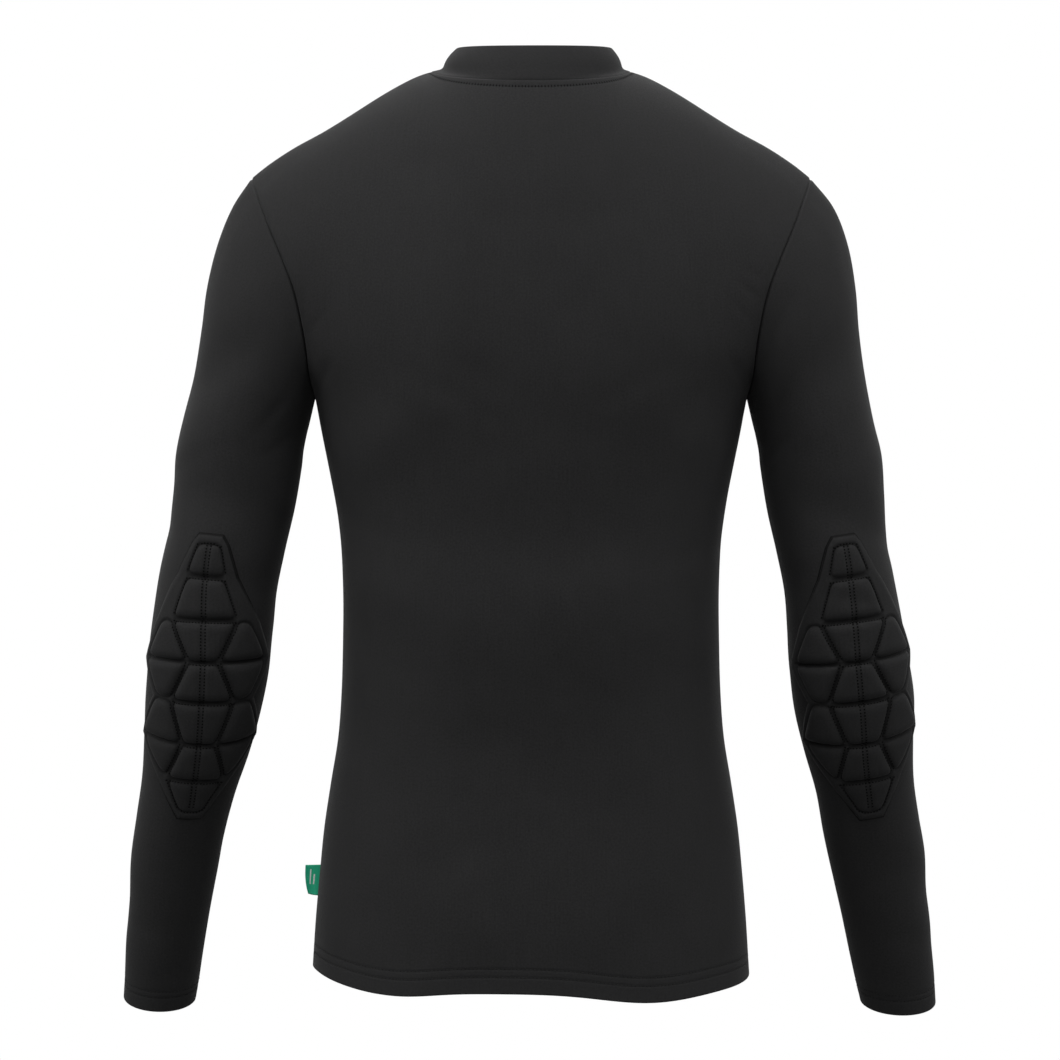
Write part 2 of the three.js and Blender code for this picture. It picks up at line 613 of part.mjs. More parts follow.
function clothMesh(name, geometry, colour, roughness) {
  const material = new THREE.MeshStandardMaterial({ color: colour, roughness, metalness: 0 });
  const mesh = new THREE.Mesh(geometry, material);
  mesh.name = name;
  return mesh;
}

// A cloth piece: its wall is thicker over the rows where its edge is turned in and sewn
function clothPiece(name, wall) {
  const { points, normals, wraps } = seamed[name];
  const inner = points.map((row, r) =>
    row.map((point, c) => point.clone().addScaledVector(normals[r][c], -wall(r))),
  );
  const geometry = wallGeometry(points, inner, wraps, OUTWARD[name]);
  return clothMesh(name, geometry, JERSEY_COLOUR, 0.85);
}

const shirt = new THREE.Group();
openSeams(seamed);

// Front and back, with the hem turned up inside
const panelWall = (r) => (r <= 1 ? TURNED_EDGE : JERSEY);
shirt.add(clothPiece("back_panel", panelWall));
shirt.add(clothPiece("front_panel", panelWall));

// Sleeves, with the cuff's edge turned up inside
const sleeveWall = (r) => (r >= SLEEVE_ROWS - CUFF_TURN_ROWS ? TURNED_EDGE : JERSEY);
shirt.add(clothPiece("sleeve_left", sleeveWall));
shirt.add(clothPiece("sleeve_right", sleeveWall));

// Collar band, folded double at its top
shirt.add(clothPiece("collar", () => COLLAR_WALL));

// The sleeve's ring number at a distance down its back from the pad's top edge
function padAlong(side, distance) {
  let along = CAP.length;
  let last = sleevePoint(side, quarter, along);
  let walked = null;
  while (along < SLEEVE_ROWS) {
    if (walked === null && last.z <= PAD.topZ) walked = 0;
    if (walked !== null && walked >= distance) break;
    along += PAD.walk;
    const next = sleevePoint(side, quarter, along);
    if (walked !== null) walked += next.distanceTo(last);
    last = next;
  }
  return along;
}

// The pad's rows: its outline, then for each band of cells a groove, two rows of full height,
// and the next band's groove
function padRows() {
  const bands = PAD_ROWS.filter((row) => row.band);
  const rows = [{ ...PAD_ROWS[0], full: false }];
  for (let i = 0; i < bands.length; i += 2) {
    const [first, last] = [bands[i], bands[i + 1]];
    const share = PAD.slope / (last.at - first.at);
    const between = (t) => ({
      at: mix(first.at, last.at, t),
      groove: mix(first.groove, last.groove, t),
      side: mix(first.side, last.side, t),
      edge: mix(first.edge, last.edge, t),
      band: first.band,
    });
    rows.push({ ...first, full: false });
    rows.push({ ...between(share), full: true });
    rows.push({ ...between(0.5), full: true });
    rows.push({ ...between(1 - share), full: true });
  }
  rows.push({ ...bands[bands.length - 1], full: false });
  rows.push({ ...PAD_ROWS[PAD_ROWS.length - 1], full: false });
  return rows;
}

function elbowPad(name, side) {
  const rows = padRows();
  const outer = [];
  const inner = [];
  for (const row of rows) {
    const along = padAlong(side, row.at);
    const share = row.at / PAD_ROWS[PAD_ROWS.length - 1].at;
    const middle = quarter + radians(mix(PAD_TURN[side].top, PAD_TURN[side].foot, share));
    const wide = ["x", "y", "z"].map((axis) => column(SLEEVE[side], "at", along, "wide" + axis));
    const radius = Math.hypot(...wide);
    const sided = PAD_SIDE_BANDS.includes(row.band) && row.full;
    const cell = row.full ? PAD.cell : PAD.groove;
    const sideCell = sided ? PAD.sideCell : PAD.groove;
    const sideAt = (share) => mix(row.groove, row.side, share);
    const half = [
      { at: 0, thick: cell },
      { at: (row.groove - PAD.slope) / 2, thick: cell },
      { at: row.groove - PAD.slope, thick: cell },
      { at: row.groove, thick: PAD.groove },
      { at: sideAt(SIDE_CELL.inner), thick: sideCell },
      { at: sideAt(SIDE_CELL.middle), thick: sideCell },
      { at: sideAt(SIDE_CELL.outer), thick: sideCell },
      { at: row.side, thick: PAD.edge },
      { at: row.edge, thick: PAD.edge },
    ];
    const across = [
      ...half.slice(1).reverse().map((place) => ({ at: -place.at, thick: place.thick })),
      ...half,
    ];
    const surface = (a, b) => sleevePoint(side, a, b);
    const outerRow = [];
    const innerRow = [];
    for (const place of across) {
      const round = middle + place.at / radius;
      const normal = normalOf(surface, round, along, side);
      const foot = sleevePoint(side, round, along);
      innerRow.push(foot.clone().addScaledVector(normal, PAD_CLEARANCE));
      outerRow.push(foot.clone().addScaledVector(normal, PAD_CLEARANCE + place.thick));
    }
    outer.push(outerRow);
    inner.push(innerRow);
  }
  return clothMesh(name, wallGeometry(outer, inner, false, side), PAD_COLOUR, 0.9);
}
shirt.add(elbowPad("elbow_pad_left", 1));
shirt.add(elbowPad("elbow_pad_right", -1));

// Woven loop label, folded over at its outer edge
function sideLabel() {
  const section = [
    { out: 0, away: LABEL.half },
    { out: LABEL.out - LABEL.fold, away: LABEL.half },
    { out: LABEL.out, away: LABEL.foldHalf },
  ];
  const outline = [
    ...section,
    ...section.slice().reverse().map((place) => ({ out: place.out, away: -place.away })),
  ];
  const ring = (z) =>
    outline.map((place) => {
      const seam = bodyRing(1, 1, z).x + SEAM_GAP;
      return new THREE.Vector3(seam + place.out, place.away, z);
    });
  const [foot, top] = [ring(LABEL.foot), ring(LABEL.top)];
  const count = outline.length;
  const positions = [...foot, ...top].flatMap((point) => point.toArray());
  const faces = [];
  for (let i = 0; i < count; i += 1) {
    const next = (i + 1) % count;
    faces.push(i, count + i, next, next, count + i, count + next);
  }
  for (let i = 1; i < count - 1; i += 1) {
    faces.push(0, i, i + 1);
    faces.push(count, count + i + 1, count + i);
  }
  const geometry = new THREE.BufferGeometry();
  geometry.setAttribute("position", new THREE.Float32BufferAttribute(positions, 3));
  geometry.setIndex(faces);
  geometry.computeVertexNormals();
  return clothMesh("side_label", geometry, LABEL_COLOUR, 0.7);
}
shirt.add(sideLabel());

export default shirt;
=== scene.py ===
import math

import bpy
import numpy as np
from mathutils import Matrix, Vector


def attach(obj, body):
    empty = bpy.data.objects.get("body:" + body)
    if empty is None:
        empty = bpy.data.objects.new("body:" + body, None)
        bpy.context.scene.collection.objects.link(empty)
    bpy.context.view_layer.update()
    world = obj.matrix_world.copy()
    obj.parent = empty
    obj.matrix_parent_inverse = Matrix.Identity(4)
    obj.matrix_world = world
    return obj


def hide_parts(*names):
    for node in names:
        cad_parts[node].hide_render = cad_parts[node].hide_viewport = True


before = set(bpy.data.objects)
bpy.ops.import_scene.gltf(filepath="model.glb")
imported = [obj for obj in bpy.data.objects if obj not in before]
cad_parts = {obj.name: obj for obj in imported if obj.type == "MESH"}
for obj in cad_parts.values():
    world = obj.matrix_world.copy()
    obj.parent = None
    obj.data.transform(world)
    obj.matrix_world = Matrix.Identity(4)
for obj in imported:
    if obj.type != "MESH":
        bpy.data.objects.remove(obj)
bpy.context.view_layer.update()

# Back
# The back of the body is one panel of fine stretch jersey, seamed at its sides, armholes,
# shoulders and neck. Its lower edge is turned up inside, and it is filled out as when worn.
QUARTER = math.pi / 2


def rows_of(names, values):
    return [dict(zip(names.split(), row)) for row in values]


def columns_of(names, values):
    return dict(zip(names.split(), np.array(values, float).T))


# Millimetres throughout, until a mesh is made
BODY = columns_of(
    "z half back front",
    [
        (-701, 170, 112, 108),
        (-684, 169, 110.8, 107),
        (-655, 167.2, 109, 106),
        (-620, 164.4, 106, 104.5),
        (-585, 161, 102.5, 103),
        (-550, 155.8, 100, 102),
        (-515, 150.2, 99.5, 102),
        (-480, 147.6, 100.5, 103),
        (-440, 146.5, 101.5, 105.5),
        (-400, 146.3, 101, 109),
        (-362, 148.2, 99.5, 112.5),
        (-330, 152.6, 100.5, 115.5),
        (-300, 158.5, 103.5, 117.5),
        (-272, 164.2, 106.5, 118.5),
        (-249, 168, 108.5, 119),
    ],
)
HEM_Z, UNDERARM_Z, UNDERARM_HALF = -701, -249, 168
BODY_POWER = 2.3
HEM_WAVES = rows_of(
    "face x wide drop",
    [(1, -94, 54, 8.2), (1, 100, 34, 3.6), (-1, 62, 60, 4.5), (-1, -84, 46, 2.5)],
)
HEM_SIDE_LIFT = dict(right=3, left=9, left_from=0.45)
HEM_WAVE_REACH = 90
NECK = dict(half=77, back=62, front=68, z=3.6, back_drop=14.6, front_drop=35.6)
SHOULDER = columns_of(
    "x z",
    [(77, 3.6), (90, -1), (114, -14.5), (137, -29), (160, -43), (184, -56), (204, -69), (218, -80)],
)
ARMHOLE = np.array(
    [
        (168, 0, -249),
        (170.5, 38, -237),
        (173.5, 57, -208),
        (180.5, 62.5, -175),
        (191, 57.5, -147),
        (202.5, 44, -120.5),
        (212.5, 24, -95),
        (218, 0, -80),
        (209, -27, -95),
        (194.5, -49, -119),
        (180, -63, -146),
        (169.5, -67, -174),
        (166, -60, -207),
        (167, -40, -236),
    ]
)
NECK_SHARE = 10 / 22
ROW_CROWD = 1.5
ROLL = dict(shoulder=0.5, neck=0.2, reach=1.3)
ARMHOLE_PULL = 3
FOLD_FADE = dict(side=0.2, top=0.25)

# Broad hollows and swells of the back, and then its smaller creases
BACK_FOLDS = rows_of(
    "x z long wide turn deep",
    [
        (0, -322, 70, 40, 0, 3.2),
        (4, -418, 100, 60, 4, 4.5),
        (84, -190, 70, 60, 20, 2.5),
        (-84, -190, 70, 60, -20, 2.5),
        (105, -283, 62, 26, -37, 2.4),
        (-85, -262, 60, 26, 27, 1.4),
        (44, -110, 60, 15, 88, 1.1),
        (79, -80, 24, 18, 20, -1.0),
        (44, -238, 28, 17, 12, -1.4),
        (-120, -264, 32, 20, -40, -1.6),
        (-30, -182, 34, 22, 60, -1.3),
        (118, -398, 36, 24, 30, 1.3),
        (92, -452, 60, 34, 12, -1.5),
        (-90, -474, 64, 36, -10, -1.5),
        (-52, -404, 40, 28, -24, 1.2),
        (20, -520, 60, 26, 8, -1.2),
        (102, -656, 32, 20, 64, -1.8),
        (-108, -648, 34, 22, -60, -1.6),
        (58, -640, 24, 34, 10, 1.2),
        (0, -704, 300, 36, 0, -2.2),
    ],
)
BACK_CREASES = rows_of(
    "x z long wide turn deep",
    [
        (-166, -172, 9, 2.6, 38, -0.5),
        (-169, -158, 8, 2.4, 30, -0.4),
        (-160, -188, 11, 3.2, 46, -0.45),
        (163, -196, 12, 3.4, -50, -0.5),
        (158, -236, 15, 4.5, -62, -0.9),
        (-157, -232, 15, 4.5, 60, -0.9),
        (62, -252, 44, 9, 30, -0.7),
        (-74, -246, 40, 10, -28, -0.7),
        (124, -350, 30, 8, 24, -0.5),
        (-122, -372, 34, 9, -20, -0.5),
        (-40, -560, 60, 14, 12, -0.5),
        (58, -598, 50, 12, -24, -0.5),
        (-112, -640, 34, 9, 64, 0.7),
        (30, -664, 26, 10, 84, 0.6),
        (-8, -120, 16, 60, 88, -0.6),
    ],
)


def mix(a, b, share):
    return a + (b - a) * share


def soft_step(share):
    share = np.clip(share, 0, 1)
    return share * share * (3 - 2 * share)


def unit(vectors):
    return vectors / np.maximum(np.linalg.norm(vectors, axis=-1, keepdims=True), 1e-12)


def through(table, key, at, name):
    """A smooth curve through one column of a table, read at places in another column"""
    place, value = table[key], table[name]
    if place[0] > place[-1]:
        place, value = place[::-1], value[::-1]
    last = len(place) - 1
    count = np.arange(last + 1)
    low, high = np.maximum(count - 1, 0), np.minimum(count + 1, last)
    slope = (value[high] - value[low]) / (place[high] - place[low])
    i = np.clip(np.searchsorted(place, at, side="right") - 1, 0, last - 1)
    span = place[i + 1] - place[i]
    t = np.clip((at - place[i]) / span, 0, 1)
    start = value[i] * (1 + 2 * t) * (1 - t) ** 2 + slope[i] * span * t * (1 - t) ** 2
    return start + value[i + 1] * t * t * (3 - 2 * t) + slope[i + 1] * span * t * t * (t - 1)


def armhole(share):
    """The armhole seam, from the underarm up the back, over the shoulder and down the front"""
    count = len(ARMHOLE)
    place = (share % 1) * count
    i = np.floor(place).astype(int)
    t = (place - i)[..., None]
    p = [ARMHOLE[(i + k) % count] for k in (-1, 0, 1, 2)]
    enter, leave = (p[2] - p[0]) / 2, (p[3] - p[1]) / 2
    return (
        p[1]
        + enter * t
        + (3 * (p[2] - p[1]) - 2 * enter - leave) * t**2
        + (2 * (p[1] - p[2]) + enter + leave) * t**3
    )


def neckline(angle):
    away = np.sin(angle)
    depth = np.where(away > 0, NECK["back"], NECK["front"])
    drop = np.where(away > 0, NECK["back_drop"], NECK["front_drop"])
    return np.stack(
        [NECK["half"] * np.cos(angle), depth * away, NECK["z"] - drop * np.abs(away)], -1
    )


def body_ring(face, across, z):
    half = through(BODY, "z", z, "half")
    depth = through(BODY, "z", z, "back" if face > 0 else "front")
    x, y = np.sin(across * QUARTER), np.abs(np.cos(across * QUARTER))
    power = 2 / BODY_POWER
    return np.stack([half * np.sign(x) * np.abs(x) ** power, face * depth * y**power, z], -1)


def top_edge(face, across):
    side = np.abs(across)
    neck = neckline(face * QUARTER - face * QUARTER * across / NECK_SHARE)
    x = mix(NECK["half"], SHOULDER["x"][-1], (side - NECK_SHARE) / (1 - NECK_SHARE))
    seam = np.stack([np.sign(across) * x, 0 * x, through(SHOULDER, "x", x, "z")], -1)
    return np.where((side <= NECK_SHARE)[..., None], neck, seam)


def panel_surface(face, across, up):
    """A body panel without its folds: up is 0 at the hem, 1 at the underarm and 2 at the top"""
    across, up = np.broadcast_arrays(np.asarray(across, float), np.asarray(up, float))
    z = mix(HEM_Z, UNDERARM_Z, np.minimum(up, 1))
    below = body_ring(face, across, z)
    side = across**8
    left = soft_step((across - HEM_SIDE_LIFT["left_from"]) / (1 - HEM_SIDE_LIFT["left_from"]))
    drop = np.where(across < 0, side * HEM_SIDE_LIFT["right"], left * HEM_SIDE_LIFT["left"])
    for wave in HEM_WAVES:
        if wave["face"] == face:
            swell = np.exp(-(((below[..., 0] - wave["x"]) / wave["wide"]) ** 2))
            drop = drop - (1 - side) * wave["drop"] * swell
    below[..., 2] += drop * soft_step(1 - (z - HEM_Z) / HEM_WAVE_REACH)
    share = np.maximum(up - 1, 0)
    low = body_ring(face, across, 0 * z + UNDERARM_Z)
    high = top_edge(face, across)
    roll = mix(ROLL["neck"], ROLL["shoulder"], soft_step(abs(across) / NECK_SHARE / ROLL["reach"]))
    climb = share**ROW_CROWD
    inward = np.cos(climb * QUARTER)
    above = np.stack(
        [
            mix(low[..., 0], high[..., 0], climb),
            mix(high[..., 1], low[..., 1], inward),
            mix(low[..., 2], high[..., 2], (1 + roll) * climb - roll * climb**3),
        ],
        -1,
    )
    seam = armhole(share / 2 if face > 0 else 1 - share / 2)
    pull = np.abs(across) ** ARMHOLE_PULL
    rise = (1 + ROLL["shoulder"]) * climb - ROLL["shoulder"] * climb**3
    x = seam[..., 0] - mix(UNDERARM_HALF, SHOULDER["x"][-1], climb)
    above[..., 0] += pull * np.sign(across) * x
    above[..., 1] += pull * seam[..., 1]
    above[..., 2] += pull * (seam[..., 2] - mix(UNDERARM_Z, SHOULDER["z"][-1], rise))
    return np.where((up <= 1)[..., None], below, above)


def normal_of(surface, a, b, outward):
    step = 0.001
    across = surface(a + step, b) - surface(a - step, b)
    along = surface(a, b + step) - surface(a, b - step)
    return unit(np.cross(across, along)) * outward


def fold_depth(folds, away, z):
    """How far the cloth lies outside its smooth surface, where away gives the place round it"""
    total = 0 * z
    for fold in folds:
        turn = math.radians(fold["turn"])
        x, up = away(fold), z - fold["z"]
        along = (x * math.cos(turn) + up * math.sin(turn)) / fold["long"]
        over = (up * math.cos(turn) - x * math.sin(turn)) / fold["wide"]
        total = total + fold["deep"] * np.exp(-(along**2) - over**2)
    return total


def lengths(points, axis):
    """The distance walked over a grid of points along one of its ways"""
    step = np.linalg.norm(np.diff(points, axis=axis), axis=-1)
    start = np.zeros_like(np.take(step, [0], axis=axis))
    return np.concatenate([start, np.cumsum(step, axis=axis)], axis=axis)


def graded(total, gap, zones):
    """Distances from 0 to the total: a gap apart, and closer in the zones (from, to, gap)"""
    places = [0.0]
    while places[-1] < total:
        close = [zone[2] for zone in zones if zone[0] <= places[-1] < zone[1]]
        places.append(places[-1] + min(close + [gap]))
    return np.array(places) * total / places[-1]


def ridge(distance, middle, wide):
    return np.exp(-(((distance - middle) / wide) ** 2))


def turned_in(points, normals, count, radius):
    """The cloth at the first row is turned in and runs back inside over that many rows"""
    onward = unit(points[1] - points[0])
    bends = np.linspace(math.pi, 0, 8)[1:-1]
    arc = [
        points[0] - normals[0] * radius * (1 - math.cos(a)) - onward * radius * math.sin(a)
        for a in bends
    ]
    inside = (points[:count] - 2 * radius * normals[:count])[::-1]
    return np.concatenate([inside, arc, points])


def cloth_mesh(name, points, outward, thick, closed=False):
    """A cloth from a grid of points, with a UV map in millimetres along the knit"""
    rows, places = points.shape[:2]
    ring = points if not closed else np.concatenate([points, points[:, :1]], 1)
    u = lengths(ring, 1)
    u = u - u[:, u.shape[1] // 2][:, None]
    v = lengths(ring, 0)
    index = np.arange(rows * places).reshape(rows, places)
    if closed:
        index = np.concatenate([index, index[:, :1]], 1)
    corners = [(0, 0), (0, 1), (1, 1), (1, 0)]
    pick = lambda grid: [
        grid[r : grid.shape[0] - 1 + r, c : grid.shape[1] - 1 + c].reshape(-1) for r, c in corners
    ]
    faces = np.stack(pick(index), 1)
    flat = points.reshape(-1, 3)
    a, b, c = (flat[faces[:, k]] for k in (0, 1, 2))
    facing = (np.cross(b - a, c - a) * outward(((a + c) / 2))).sum()
    uv = np.stack([np.stack(pick(u), 1), np.stack(pick(v), 1)], -1)
    if facing < 0:
        faces, uv = faces[:, ::-1], uv[:, ::-1]
    mesh = bpy.data.meshes.new(name)
    mesh.from_pydata((flat * 0.001).tolist(), [], faces.tolist())
    layer = mesh.uv_layers.new(name="cloth")
    layer.data.foreach_set("uv", uv.reshape(-1).astype(np.float32))
    piece = bpy.data.objects.new(name, mesh)
    bpy.context.scene.collection.objects.link(piece)
    for each in bpy.context.selected_objects:
        each.select_set(False)
    bpy.context.view_layer.objects.active = piece
    piece.select_set(True)
    wall = piece.modifiers.new("wall", "SOLIDIFY")
    wall.thickness, wall.offset = thick * 0.001, -1
    bpy.ops.object.modifier_apply(modifier=wall.name)
    bpy.ops.object.shade_smooth()
    return piece


def eased(points, where, axis, turns):
    """The points drawn towards their neighbours along one way of the grid, where asked"""
    for _ in range(turns):
        near = (np.roll(points, 1, axis) + np.roll(points, -1, axis)) / 2
        points = points + (near - points) * where[..., None] * 0.6
    return points


CLOTH_THICK = 0.8
HEM_STITCHES = (11.7, 17.9)
STITCH_DIP = dict(deep=0.35, wide=0.9)
HEM_FOLD = 1.0
SEAM_DIP = dict(deep=1.1, wide=1.1, neck=0.3)
NECK_STITCH_DROP = 5.0
NECK_STITCH_LINE = NECK_STITCH_DROP + 0.3
NECK_STITCH_DIP = 0.15
NECK_LIP = 0.5
CREASE_FADE = 0.06
NECK_EASE = dict(wide=0.16, fade=0.12, turns=90)
UNDERARM_EASE = dict(wide=0.14, fade=0.1, turns=60)


def body_panel(face, folds, creases, gap):
    """The finished points and outward normals of a body panel, and distances over it"""
    smooth = lambda a, b: panel_surface(face, a, b)
    fine = np.linspace(0, 2, 600)
    measure = lengths(smooth(0.3, fine), 0)
    zones = [(0, 24, 0.75), (measure[-1] - 9, measure[-1], 0.6)]
    ups = np.interp(graded(measure[-1], gap, zones), measure, fine)
    fine = np.linspace(-1, 1, 900)
    measure = lengths(smooth(fine, 0.6), 0)
    zones = [(0, 4, 0.5), (measure[-1] - 4.5, measure[-1], 0.5)]
    acrosses = np.interp(graded(measure[-1], gap, zones), measure, fine)
    across, up = np.meshgrid(acrosses, ups)
    points = smooth(across, up)
    edge, top = 1 - np.abs(across), 2 - up
    neck_points = ridge(np.abs(across), NECK_SHARE, NECK_EASE["wide"]) * soft_step((up - 0.9) / 0.3)
    neck_points = neck_points * soft_step(top / NECK_EASE["fade"])
    points = eased(points, neck_points, 1, NECK_EASE["turns"])
    underarm = ridge(up, 1, UNDERARM_EASE["wide"]) * soft_step(edge / UNDERARM_EASE["fade"])
    points = eased(points, underarm, 0, UNDERARM_EASE["turns"])
    normals = unit(np.cross(np.gradient(points, axis=1), np.gradient(points, axis=0))) * -face
    away = lambda fold: points[..., 0] - fold["x"]
    fade = soft_step(edge / FOLD_FADE["side"]) * soft_step(top / FOLD_FADE["top"])
    near = soft_step(edge / CREASE_FADE) * soft_step(top / CREASE_FADE)
    deep = fade * fold_depth(folds, away, points[..., 2])
    deep = deep + near * fold_depth(creases, away, points[..., 2])
    from_left, from_hem = lengths(points, 1), lengths(points, 0)
    from_side = np.minimum(from_left, from_left[:, -1:] - from_left)
    from_top = from_hem[-1:] - from_hem
    neck = soft_step((NECK_SHARE - np.abs(across)) / 0.03)
    top_dip = ridge(from_top, 0, SEAM_DIP["wide"]) * mix(1, SEAM_DIP["neck"], neck)
    deep = deep - SEAM_DIP["deep"] * (ridge(from_side, 0, SEAM_DIP["wide"]) + top_dip)
    for height in HEM_STITCHES:
        deep = deep - STITCH_DIP["deep"] * ridge(from_hem, height, STITCH_DIP["wide"])
    deep = deep + neck * NECK_LIP * soft_step(1 - from_top / NECK_STITCH_DROP)
    deep = deep - neck * NECK_STITCH_DIP * ridge(from_top, NECK_STITCH_LINE, STITCH_DIP["wide"])
    points = points + normals * deep[..., None]
    return dict(points=points, normals=normals, hem=from_hem, top=from_top, across=across)


def jersey_piece(name, panel, edge_rows, radius, outward, closed=False):
    points = turned_in(panel["points"], panel["normals"], edge_rows, radius)
    return cloth_mesh(name, points, outward, CLOTH_THICK, closed)


def away_from_body(middle):
    return np.stack([middle[:, 0], middle[:, 1], 0 * middle[:, 2]], -1)


def line_at(cloth, measure, height):
    """The line on a cloth that lies one distance from its edge, with the normals there"""
    found = []
    for name in ("points", "normals"):
        line = [
            [np.interp(height, distance, place[:, k]) for k in range(3)]
            for distance, place in zip(cloth[measure].T, cloth[name].transpose(1, 0, 2))
        ]
        found.append(np.array(line))
    return found


THREAD = dict(sides=5, ends=(0.4, 0.95, 0.95, 0.4), reach=(-0.5, -0.22, 0.22, 0.5), sink=0.25)
HOLE_SIDES = 6


def stitch_places(points, normals, pitch, shift):
    """Even places along a line, with the way that the line runs and the normal at each"""
    walk = lengths(points, 0)
    count = max(int(round(walk[-1] / pitch)), 2)
    at = (np.arange(count) + shift) * walk[-1] / count
    read = lambda values, where: np.stack([np.interp(where, walk, values[:, k]) for k in range(3)], 1)
    onward = unit(read(points, at + 0.4) - read(points, at - 0.4))
    upright = unit(read(normals, at))
    beside = unit(np.cross(upright, onward))
    return read(points, at), onward, upright, beside


def stitches(name, lines, pitch, long, wide, hole, thread_paint, hole_shade_paint):
    """Thread stitches and dark discs of painted shade at the needle holes between them, along lines of
    points and normals
    """
    places, faces, finish, start = [], [], [], 0
    turn = np.linspace(0, 4 * QUARTER, THREAD["sides"], endpoint=False)
    round_hole = np.linspace(0, 4 * QUARTER, HOLE_SIDES, endpoint=False)
    for points, normals in lines:
        middle, onward, upright, beside = (
            part[:, None, None] for part in stitch_places(points, normals, pitch, 0.5)
        )
        reach = np.array(THREAD["reach"])[None, :, None, None]
        swell = np.array(THREAD["ends"])[None, :, None, None] * wide / 2
        ring = beside * np.cos(turn)[None, None, :, None] * swell
        ring = ring + upright * np.sin(turn)[None, None, :, None] * swell * 0.8
        lift = wide * (0.3 - THREAD["sink"] * (reach * 2) ** 4)
        thread = middle + onward * reach * long + upright * lift + ring
        count, rings, sides = thread.shape[:3]
        index = start + np.arange(count * rings * sides).reshape(count, rings, sides)
        after = np.roll(index, -1, 2)
        wall = [index[:, :-1], after[:, :-1], after[:, 1:], index[:, 1:]]
        faces += np.stack(wall, -1).reshape(-1, 4).tolist()
        faces += index[:, 0, ::-1].tolist() + index[:, -1].tolist()
        finish += [0] * (count * (rings - 1) * sides + 2 * count)
        places.append(thread.reshape(-1, 3))
        start += count * rings * sides
        if hole:
            middle, onward, upright, beside = (
                part[:, None] for part in stitch_places(points, normals, pitch, 0)
            )
            # Each needle hole is a flat dark disc just above the cloth: painted shade
            disc = middle + upright * 0.18 + beside * np.sin(round_hole)[None, :, None] * hole[1]
            disc = disc + onward * np.cos(round_hole)[None, :, None] * hole[0]
            index = start + np.arange(count * HOLE_SIDES).reshape(count, HOLE_SIDES)
            faces += index.tolist()
            finish += [1] * count
            places.append(disc.reshape(-1, 3))
            start += count * HOLE_SIDES
    mesh = bpy.data.meshes.new(name)
    mesh.from_pydata((np.concatenate(places) * 0.001).tolist(), [], faces)
    mesh.materials.append(thread_paint)
    mesh.materials.append(hole_shade_paint)
    mesh.polygons.foreach_set("material_index", finish)
    mesh.polygons.foreach_set("use_smooth", [True] * len(finish))
    piece = bpy.data.objects.new(name, mesh)
    bpy.context.scene.collection.objects.link(piece)
    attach(piece, "root")
    return piece


def new_group(name, given, made):
    group = bpy.data.node_groups.new(name, "ShaderNodeTree")
    for way, sockets in (("INPUT", given), ("OUTPUT", made)):
        for label, kind in sockets:
            group.interface.new_socket(name=label, in_out=way, socket_type="NodeSocket" + kind)
    return group, group.nodes.new("NodeGroupInput"), group.nodes.new("NodeGroupOutput")


def add_node(tree, kind, values, **settings):
    """A node with its settings, and its inputs set to a value or linked to an output"""
    node = tree.nodes.new(kind)
    for name, value in settings.items():
        setattr(node, name, value)
    for name, value in values.items():
        if isinstance(value, bpy.types.NodeSocket):
            tree.links.new(value, node.inputs[name])
        else:
            node.inputs[name].default_value = value
    return node


def maths(tree, operation, *values):
    return add_node(tree, "ShaderNodeMath", dict(enumerate(values)), operation=operation).outputs[0]


def noise(tree, place, stretch, detail):
    vector = add_node(tree, "ShaderNodeVectorMath", {0: place, 1: stretch}, operation="MULTIPLY")
    values = {"Vector": vector.outputs[0], "Scale": 1.0, "Detail": detail, "Roughness": 0.6}
    found = add_node(tree, "ShaderNodeTexNoise", values)
    return maths(tree, "SUBTRACT", found.outputs[0], 0.5)


# Knit loops lean in pairs that make columns of small Vs. The yarn's colour varies a little from
# loop to loop, along the columns and over a hand's width.
knit, given, made = new_group(
    "fine_knit",
    [("Place", "Vector"), ("Colour", "Color"), ("Loop", "Float"), ("Mottle", "Float")],
    [("Colour", "Color"), ("Roughness", "Float"), ("Height", "Float")],
)
place = add_node(knit, "ShaderNodeSeparateXYZ", {0: given.outputs["Place"]})
column_at = maths(knit, "DIVIDE", place.outputs["X"], given.outputs["Loop"])
loop_high = maths(knit, "MULTIPLY", given.outputs["Loop"], 0.8)
row_at = maths(knit, "DIVIDE", place.outputs["Y"], loop_high)
lean = maths(knit, "PINGPONG", column_at, 0.5)
leg = maths(knit, "SINE", maths(knit, "MULTIPLY", maths(knit, "ADD", row_at, lean), 4 * QUARTER))
yarn = maths(knit, "MULTIPLY_ADD", leg, 0.5, 0.5)
column_edge = maths(knit, "POWER", maths(knit, "MULTIPLY", lean, 2.0), 0.5)
height = maths(knit, "MULTIPLY", yarn, maths(knit, "MULTIPLY_ADD", column_edge, 0.7, 0.3))
loops = noise(knit, given.outputs["Place"], (0.62, 0.62, 0), 3.0)
columns = noise(knit, given.outputs["Place"], (1.3, 0.03, 0), 2.0)
broad = noise(knit, given.outputs["Place"], (0.028, 0.028, 0), 2.0)
varied = maths(knit, "ADD", loops, maths(knit, "MULTIPLY", columns, 0.35))
varied = maths(knit, "ADD", varied, maths(knit, "MULTIPLY", broad, 0.45))
shade = maths(knit, "MULTIPLY_ADD", varied, given.outputs["Mottle"], 0.9)
# Painted shade: the crests of the loops a little lighter and the hollows between them darker
shade = maths(knit, "ADD", shade, maths(knit, "MULTIPLY", height, 0.2))
tinted = add_node(
    knit,
    "ShaderNodeVectorMath",
    {0: given.outputs["Colour"], "Scale": shade},
    operation="SCALE",
)
knit.links.new(tinted.outputs[0], made.inputs["Colour"])
knit.links.new(maths(knit, "MULTIPLY_ADD", broad, 0.25, 0.74), made.inputs["Roughness"])
knit.links.new(maths(knit, "MULTIPLY_ADD", loops, 0.8, height), made.inputs["Height"])


